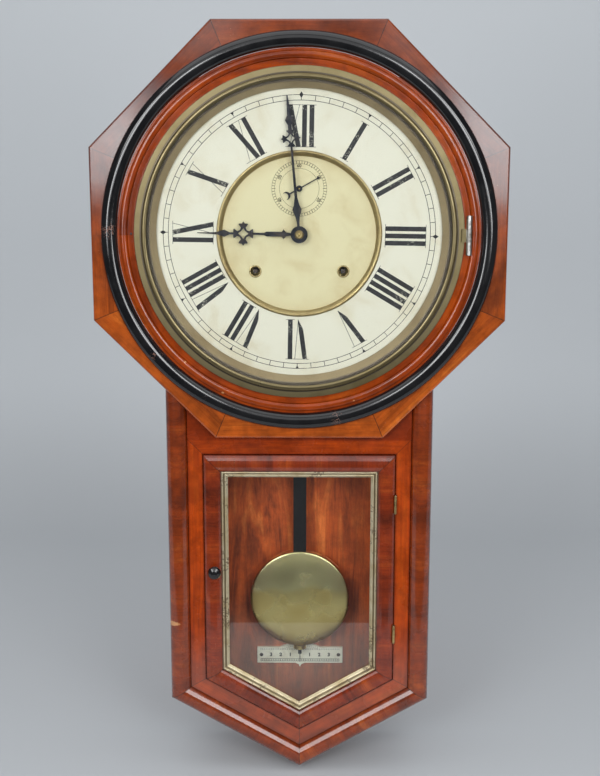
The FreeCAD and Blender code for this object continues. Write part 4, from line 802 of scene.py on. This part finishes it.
# takes a closed outline of (inset, front) past corners given as x, z and the way the inset runs there
def carry(bm, outline, corners):
    stations = []
    for x, z, goX, goZ in corners:
        side = Vector((-goZ, 0, goX)).normalized()
        station = Matrix((Vector((goX, 0, goZ)), Vector((0, -1, 0)), side)).transposed().to_4x4()
        station.translation = spotAt(x, 0, z)
        stations.append(station)
    verts = [bm.verts.new((point[0] * mm, point[1] * mm, 0)) for point in outline]
    edges = [bm.edges.new(pair) for pair in zip(verts, verts[1:] + verts[:1])]
    bmesh.ops.transform(bm, matrix=stations[0], verts=verts)
    mitres = edges[:]
    for here, station in zip(stations, stations[1:]):
        grown = bmesh.ops.extrude_edge_only(bm, edges=edges)["geom"]
        edges = edgesOf(grown)
        bmesh.ops.transform(bm, matrix=station @ here.inverted(), verts=cornersOf(grown))
        mitres += edges
    for edge in bm.edges:
        edge.smooth = edge not in mitres


# an outline swept round the five sides of a pointed frame with mitred corners
def swept(name, look, inset, top, finish, body, smooth=40):
    half, tip, knee = halfAt(inset), tipAt(inset), kneeAt(inset)
    corners = [(-half, top, 1, -1), (half, top, -1, -1), (half, knee, -1, kneeBend), (0, tip, 0, tipReach),
               (-half, knee, 1, kneeBend)]
    bm = bmesh.new()
    carry(bm, joined(look), corners + corners[:1])
    closeUp(bm, 1e-6)
    return newPiece(name, bm, finish, body, smooth)


# gilt slip: outer bead, groove, lower inner bead
slipLook = {"outer": [(0, 89.4), (0, 94.8), (0.4, 95.2), (1.2, 95.2), (1.8, 94.8)],
            "groove": [(2.2, 93.6), (2.7, 92.4), (3.2, 92.1), (3.7, 92.6)],
            "inner": [(4.3, 92.8), (5.0, 92.4), (5.8, 91.6), (6.6, 90.9), (7.0, 90.6), (7.0, 89.4)]}
giltSlip = swept("giltSlip", slipLook, slipInset, slipTop, "paleGilt", "door", 50)
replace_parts(giltSlip, "door_slip")

# edge moulding of the case: a crown with a planed flat on its inner side, cut off along the octagon
crown = {
    "width": 22.4, "foot": 84.0, "edge": 93.0, "rise": 9.5, "steps": 30, "flat": (38.3, 62.3),
    "flatSteps": (0, 0.1, 0.9, 1), "octagon": 216.2, "top": -100.0}


def makeMoulding(look):
    middle = look["width"] / 2

    def onCrown(degrees):
        turn = math.radians(degrees)
        return Vector((middle + middle * math.cos(turn), look["edge"] + look["rise"] * math.sin(turn)))
    first, last = look["flat"]
    turns = [180 * step / look["steps"] for step in range(look["steps"] + 1)]
    outline = [(0, look["foot"]), (look["width"], look["foot"])]
    outline += [onCrown(turn) for turn in turns if turn < first - 1]
    outline += [onCrown(first).lerp(onCrown(last), share) for share in look["flatSteps"]]
    outline += [onCrown(turn) for turn in turns if turn > last + 1]
    bm = bmesh.new()
    carry(bm, outline, [(-case["half"], look["top"], 1, 0), (-case["half"], kneeAt(0), 1, kneeBend),
                        (0, case["tip"], 0, tipReach)])
    corner = Vector((-1, 0, -1)).normalized() * look["octagon"] * mm + dialCentre
    cut = bmesh.ops.bisect_plane(bm, geom=bm.verts[:] + bm.edges[:] + bm.faces[:], dist=1e-7, plane_co=corner,
                                 plane_no=(1, 0, 1), clear_outer=True)["geom_cut"]
    bmesh.ops.contextual_create(bm, geom=edgesOf(cut))
    bmesh.ops.mirror(bm, geom=bm.verts[:] + bm.edges[:] + bm.faces[:], merge_dist=1e-6, axis="X")
    closeUp(bm, 1e-6)
    return newPiece("caseMoulding", bm, "mouldingVeneer", "case", 40)


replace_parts(makeMoulding(crown), "case_moulding")

# pendulum bob: flat dome with a thin turned rim
bobMiddle = (0.0, -425.3)
bobLook = {"dome": [(0, 35.1), (20, 34.8), (39.5, 34.1), (54, 32.4)],
           "rim": [(56.2, 31.9, 0.5), (57.4, 30.6, 0.6), (57.4, 22.9)], "back": [(48.5, 18.5), (0, 17.0)]}
bobDisc = spun("bobDisc", bobLook, "bobBrass", "bob", bobMiddle, 120, 20)
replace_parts(bobDisc, "pendulum_bob")
# brass eyelets round the winding holes
holeAside, holeHeight = 46.25, -39.0
eyelet = {"tube": [(4.9, 90.2), (5.15, 90.2), (5.15, 91.05)],
          "collar": [(6.6, 91.05), (6.6, 91.25, 0.15), (5.7, 91.6, 0.3), (4.9, 91.3, 0.25)]}
for name, side in (("strikeEyelet", -1), ("timeEyelet", 1)):
    spun(name, eyelet, "rimBrass", "case", (side * holeAside, holeHeight), 48, 50)
print("turned and swept pieces made")


# chapter ring print
chapter = {
    "front": 93.98, "film": 0.06, "turn": 0.9, "outer": 132.1, "inner": 89.8, "bar": 4.9, "hair": 0.5,
    "serif": 2.2, "gap": 2.6, "point": (0.74, 1.6, 0.12), "track": (142.2, 136.8), "line": 0.62,
    "lozenge": (3.4, 2.2), "lozengeHours": (0, 3, 9), "arrow": (2.6, 2.2), "arrowIn": 1.0,
    "hours": ["XII", "I", "II", "III", "IIII", "V", "VI", "VII", "VIII", "IX", "X", "XI"]}
# each letter: its reach to both sides, then strokes as (outer offset, inner offset, thick or thin)
letters = {"I": (2.45, 2.45, [(0, 0, True)]),
           "V": (7.4, 5.8, [(-5.0, 1.2, True), (5.6, 2.6, False)]),
           "X": (7.0, 5.2, [(-4.6, 4.4, True), (5.0, -5.0, False)])}


# how much of the inner serif is left out, because a V has none at its point
def pointRoom(word):
    if word == "V":
        return math.inf
    return sum(letters["V"][:2]) + chapter["gap"] if word.startswith("V") else 0.0


def makeChapterPrint(look):
    bm = bmesh.new()
    for hour, word in enumerate(look["hours"]):
        degrees = 30 * hour + look["turn"]

        def spot(out, aside=0.0):
            return dialPoint(degrees, out, aside, look["front"])
        width = sum(letters[c][0] + letters[c][1] for c in word) + look["gap"] * (len(word) - 1)
        aside = -width / 2
        for c in word:
            left, right, strokes = letters[c]
            aside += left
            for outer, inner, thick in strokes:
                top = spot(look["outer"], aside + outer)
                foot = spot(look["inner"], aside + inner)
                if c == "V" and thick:  # the broad stroke comes to a point where the thin one meets it
                    share, shift, tip = look["point"]
                    shoulder = top.lerp(foot, share)
                    addStroke(bm, shoulder, spot(look["inner"], aside + inner + shift), look["bar"], tip)
                    foot = shoulder
                addStroke(bm, top, foot, look["bar"] if thick else look["hair"])
            aside += right + look["gap"]
        reach = width / 2 + look["serif"]
        for out, start in ((look["outer"], -reach), (look["inner"], -reach + pointRoom(word))):
            if start < reach:
                addStroke(bm, spot(out, start), spot(out, reach), look["hair"])
        track = look["track"][0]
        if hour in look["lozengeHours"]:
            addLozenge(bm, spot(track), *look["lozenge"], degrees)
        else:
            addLozenge(bm, spot(track - look["arrowIn"]), *look["arrow"], degrees, 3)
    for reach in look["track"]:
        addRing(bm, reach, look["line"], look["front"], segments=180)
    for minute in range(60):
        degrees = 6 * minute + look["turn"]
        outer, inner = (dialPoint(degrees, reach, 0, look["front"]) for reach in look["track"])
        addStroke(bm, inner, outer, look["line"])
    thicken(bm, look["film"])
    return newPiece("chapterPrint", bm, "numeralInk", "case")


makeChapterPrint(chapter)


# seconds ring on the dial centre
seconds = {"middle": (0.0, 47.2), "front": 90.98, "film": 0.05, "rings": (28.6, 25.6, 20.6), "line": 0.3,
           "tick": 0.52, "longer": 1.0, "numbers": 23.2, "height": 4.6, "bold": 0.00012}


def makeSecondsPrint(look):
    bm = bmesh.new()
    for reach in look["rings"]:
        addRing(bm, reach, look["line"], look["front"], look["middle"])

    def spot(second, reach):
        return dialPoint(6 * second, reach, 0, look["front"], look["middle"])
    outer, inner = look["rings"][:2]
    for tick in range(60):
        start = inner if tick % 5 else inner - look["longer"]
        addStroke(bm, spot(tick, start), spot(tick, outer), look["tick"])
    for number in range(10, 70, 10):
        place = Matrix.Translation(spot(number, look["numbers"]))
        turn = Matrix.Rotation(math.radians(6 * number), 4, "Y")
        addNumber(bm, str(number), look["height"], place @ turn, look["bold"])
    thicken(bm, look["film"])
    return newPiece("secondsPrint", bm, "fineInk", "case")


makeSecondsPrint(seconds)


# beat scale under the bob: numbers and their zero line, two rows of ticks, and marks along the raised edge
beatScale = {
    "front": 13.18, "film": 0.05, "top": -492.5, "bottom": -512.0, "pitch": 11.4, "line": 0.5,
    "numbers": -501.8, "height": 5.8, "bold": 0.0003, "zero": (2.0, 1.5), "ticks": 22, "tickPitch": 2.1,
    "rows": ((2.2, 5.0), (16.4, 18.0)), "rules": (2.2, 5.0), "ruleHalf": 46.5, "arcDrop": 48.2,
    "arcs": (50.5, 52.5), "markTurn": 2.6, "marks": range(3, 10), "mark": (0.55, 0.4), "pin": 2.2}


def makeScalePrint(look):
    bm = bmesh.new()

    def spot(x, z):
        return spotAt(x, look["front"], z)
    for step in range(-3, 4):
        if step:
            place = Matrix.Translation(spot(step * look["pitch"], look["numbers"]))
            addNumber(bm, str(abs(step)), look["height"], place, look["bold"])
    above, below = look["zero"]
    addStroke(bm, spot(0, look["top"] - above), spot(0, look["bottom"] + below), look["line"] * 2)
    for low, high in look["rows"]:
        for tick in range(-look["ticks"], look["ticks"] + 1):
            x = tick * look["tickPitch"]
            addStroke(bm, spot(x, look["bottom"] + low), spot(x, look["bottom"] + high), look["line"])
    for rule in look["rules"]:
        height = look["bottom"] + rule
        addStroke(bm, spot(-look["ruleHalf"], height), spot(look["ruleHalf"], height), look["line"])
    for step in [-step for step in reversed(look["marks"])] + list(look["marks"]):
        turn = math.radians(look["markTurn"] * step)
        for reach in look["arcs"]:
            height = look["top"] - look["arcDrop"] + reach * math.cos(turn)
            addLozenge(bm, spot(reach * math.sin(turn), height), *look["mark"])
    thicken(bm, look["film"])
    return newPiece("scalePrint", bm, "plateInk", "case")


# low round pin heads at (x, front, height)
def makePins(name, spots, radius):
    bm = bmesh.new()
    flat = Matrix.Diagonal((1, 0.4, 1, 1))
    for spot in spots:
        bmesh.ops.create_uvsphere(bm, u_segments=16, v_segments=8, radius=radius * mm,
                                  matrix=Matrix.Translation(spotAt(*spot)) @ flat)
    return newPiece(name, bm, "castIron", "case", 180)


makeScalePrint(beatScale)
# two pins hold the scale plate
plateSpots = [(side * 4 * beatScale["pitch"], beatScale["front"], beatScale["numbers"]) for side in (-1, 1)]
makePins("platePins", plateSpots, beatScale["pin"])
catch = {"spot": (-174.0, 107.0, 1.5), "pin": 1.3}  # bezel catch pin at nine o'clock
makePins("catchPin", [catch["spot"]], catch["pin"])
print("print made")


# camera at the photograph's place
view = {"lens": 57.99, "sensor": 36.0, "at": (0.0127, -1.4058, -0.0429), "tilt": 78.76, "turn": 0.52}
camera = bpy.data.objects.new("camera", bpy.data.cameras.new("camera"))
camera.data.sensor_fit = "VERTICAL"
camera.data.sensor_height = view["sensor"]
camera.data.lens = view["lens"]
camera.location = view["at"]
camera.rotation_euler = (math.radians(view["tilt"]), 0, math.radians(view["turn"]))
scene.collection.objects.link(camera)
scene.camera = camera


# pale floor that runs up into a backdrop
stage = {"front": -0.52, "bend": 0.75, "radius": 0.5, "height": 2.4, "half": 2.2, "drop": 0.004, "rough": 0.9,
         "floorTone": (0.51, 0.53, 0.55), "wallTone": (0.675, 0.705, 0.73), "blend": (-0.045, 0.25)}


def makeStage(look):
    low = cadBox[0].z - look["drop"]
    bm = bmesh.new()
    first = bm.verts.new((-look["half"], look["front"], low))
    turned = bm.verts.new((-look["half"], look["bend"], low))
    bm.edges.new((first, turned))
    curved = bmesh.ops.spin(bm, geom=[turned], cent=(-look["half"], look["bend"], low + look["radius"]),
                            axis=(1, 0, 0), angle=math.pi / 2, steps=16)["geom_last"]
    raised = bmesh.ops.extrude_vert_indiv(bm, verts=cornersOf(curved))
    bmesh.ops.translate(bm, verts=raised["verts"], vec=(0, 0, look["height"]))
    grown = bmesh.ops.extrude_edge_only(bm, edges=bm.edges[:])["geom"]
    bmesh.ops.translate(bm, verts=cornersOf(grown), vec=(2 * look["half"], 0, 0))
    bm.normal_update()
    bmesh.ops.reverse_faces(bm, faces=[face for face in bm.faces if face.normal.z < face.normal.y])
    mesh = bpy.data.meshes.new("backdrop")
    bm.to_mesh(mesh)
    bm.free()
    mesh.shade_smooth()
    backdrop = bpy.data.objects.new("backdrop", mesh)
    scene.collection.objects.link(backdrop)
    material, shader, place = newMaterial("backdropPaper", Roughness=look["rough"])
    start, end = look["blend"]
    rise = ramp(split(place)["Z"], low + start, low + end)
    feed(shader.inputs["Base Color"], cover(rise, (*look["floorTone"], 1), look["wallTone"]))
    # clear from behind, so that the clock's back can be looked at
    behind = material.node_tree.nodes.new("ShaderNodeNewGeometry").outputs["Backfacing"]
    clearWhere(material, shader, behind, (1, 1, 1, 1))
    mesh.materials.append(material)


makeStage(stage)

# soft boxes, a touch cool: place, height they aim at, size, roll and power
lampTone = (0.98, 0.99, 1.0)
lamps = {
    "leftStrip": {"at": (-0.68, -1.65, 0.12), "aim": -0.2, "size": (0.30, 0.95), "roll": -32.6, "power": 8.4},
    "rightStrip": {"at": (0.65, -1.65, 0.12), "aim": -0.2, "size": (0.30, 0.95), "roll": 32.6, "power": 7.6},
    "leftBox": {"at": (-0.452, -1.65, -0.035), "aim": -0.1, "size": (0.17, 0.22), "power": 0.75},
    "rightBox": {"at": (0.437, -1.65, -0.03), "aim": -0.1, "size": (0.21, 0.30), "power": 1.2},
    "leftCorner": {"at": (-0.225, -1.65, 0.205), "aim": -0.1, "size": (0.15, 0.13), "power": 0.09},
    "rightCorner": {"at": (0.245, -1.65, 0.205), "aim": -0.1, "size": (0.15, 0.13), "power": 0.08},
    "leftHigh": {"at": (-1.07, -1.65, 0.46), "aim": -0.4, "size": (0.52, 0.30), "roll": 24, "power": 3.2},
    "rightHigh": {"at": (1.05, -1.65, 0.46), "aim": -0.4, "size": (0.52, 0.30), "roll": -24, "power": 3.2},
    "frontBox": {"at": (0, -2.3, 0.95), "aim": -0.3, "size": (3.0, 1.4), "power": 11.5},
    "topBox": {"at": (0, -0.5, 1.55), "aim": -0.3, "size": (3.2, 1.8), "power": 22},
}
for name, look in lamps.items():
    lamp = bpy.data.lights.new(name, "AREA")
    lamp.shape = "RECTANGLE"
    lamp.size, lamp.size_y = look["size"]
    lamp.energy = look["power"]
    lamp.color = lampTone
    holder = bpy.data.objects.new(name, lamp)
    holder.location = look["at"]
    facing = (Vector((0, 0, look["aim"])) - Vector(look["at"])).to_track_quat("-Z", "Y")
    roll = Quaternion((0, 0, 1), math.radians(look.get("roll", 0)))
    holder.rotation_euler = (facing @ roll).to_euler()
    scene.collection.objects.link(holder)

# even grey surroundings, dimmer in what gloss mirrors
surroundings = {"tone": (0.62, 0.65, 0.68, 1), "strength": 0.34, "mirrored": 0.13}
world = bpy.data.worlds.new("studio")
scene.world = world
world.use_nodes = True
sky = world.node_tree
glossy = sky.nodes.new("ShaderNodeLightPath").outputs["Is Glossy Ray"]
strength = mixValue(glossy, surroundings["strength"], surroundings["mirrored"])
feed(sky.nodes["Background"].inputs["Color"], surroundings["tone"])
feed(sky.nodes["Background"].inputs["Strength"], strength)
scene.view_settings.view_transform = "Standard"
print("stage, lamps and camera set")
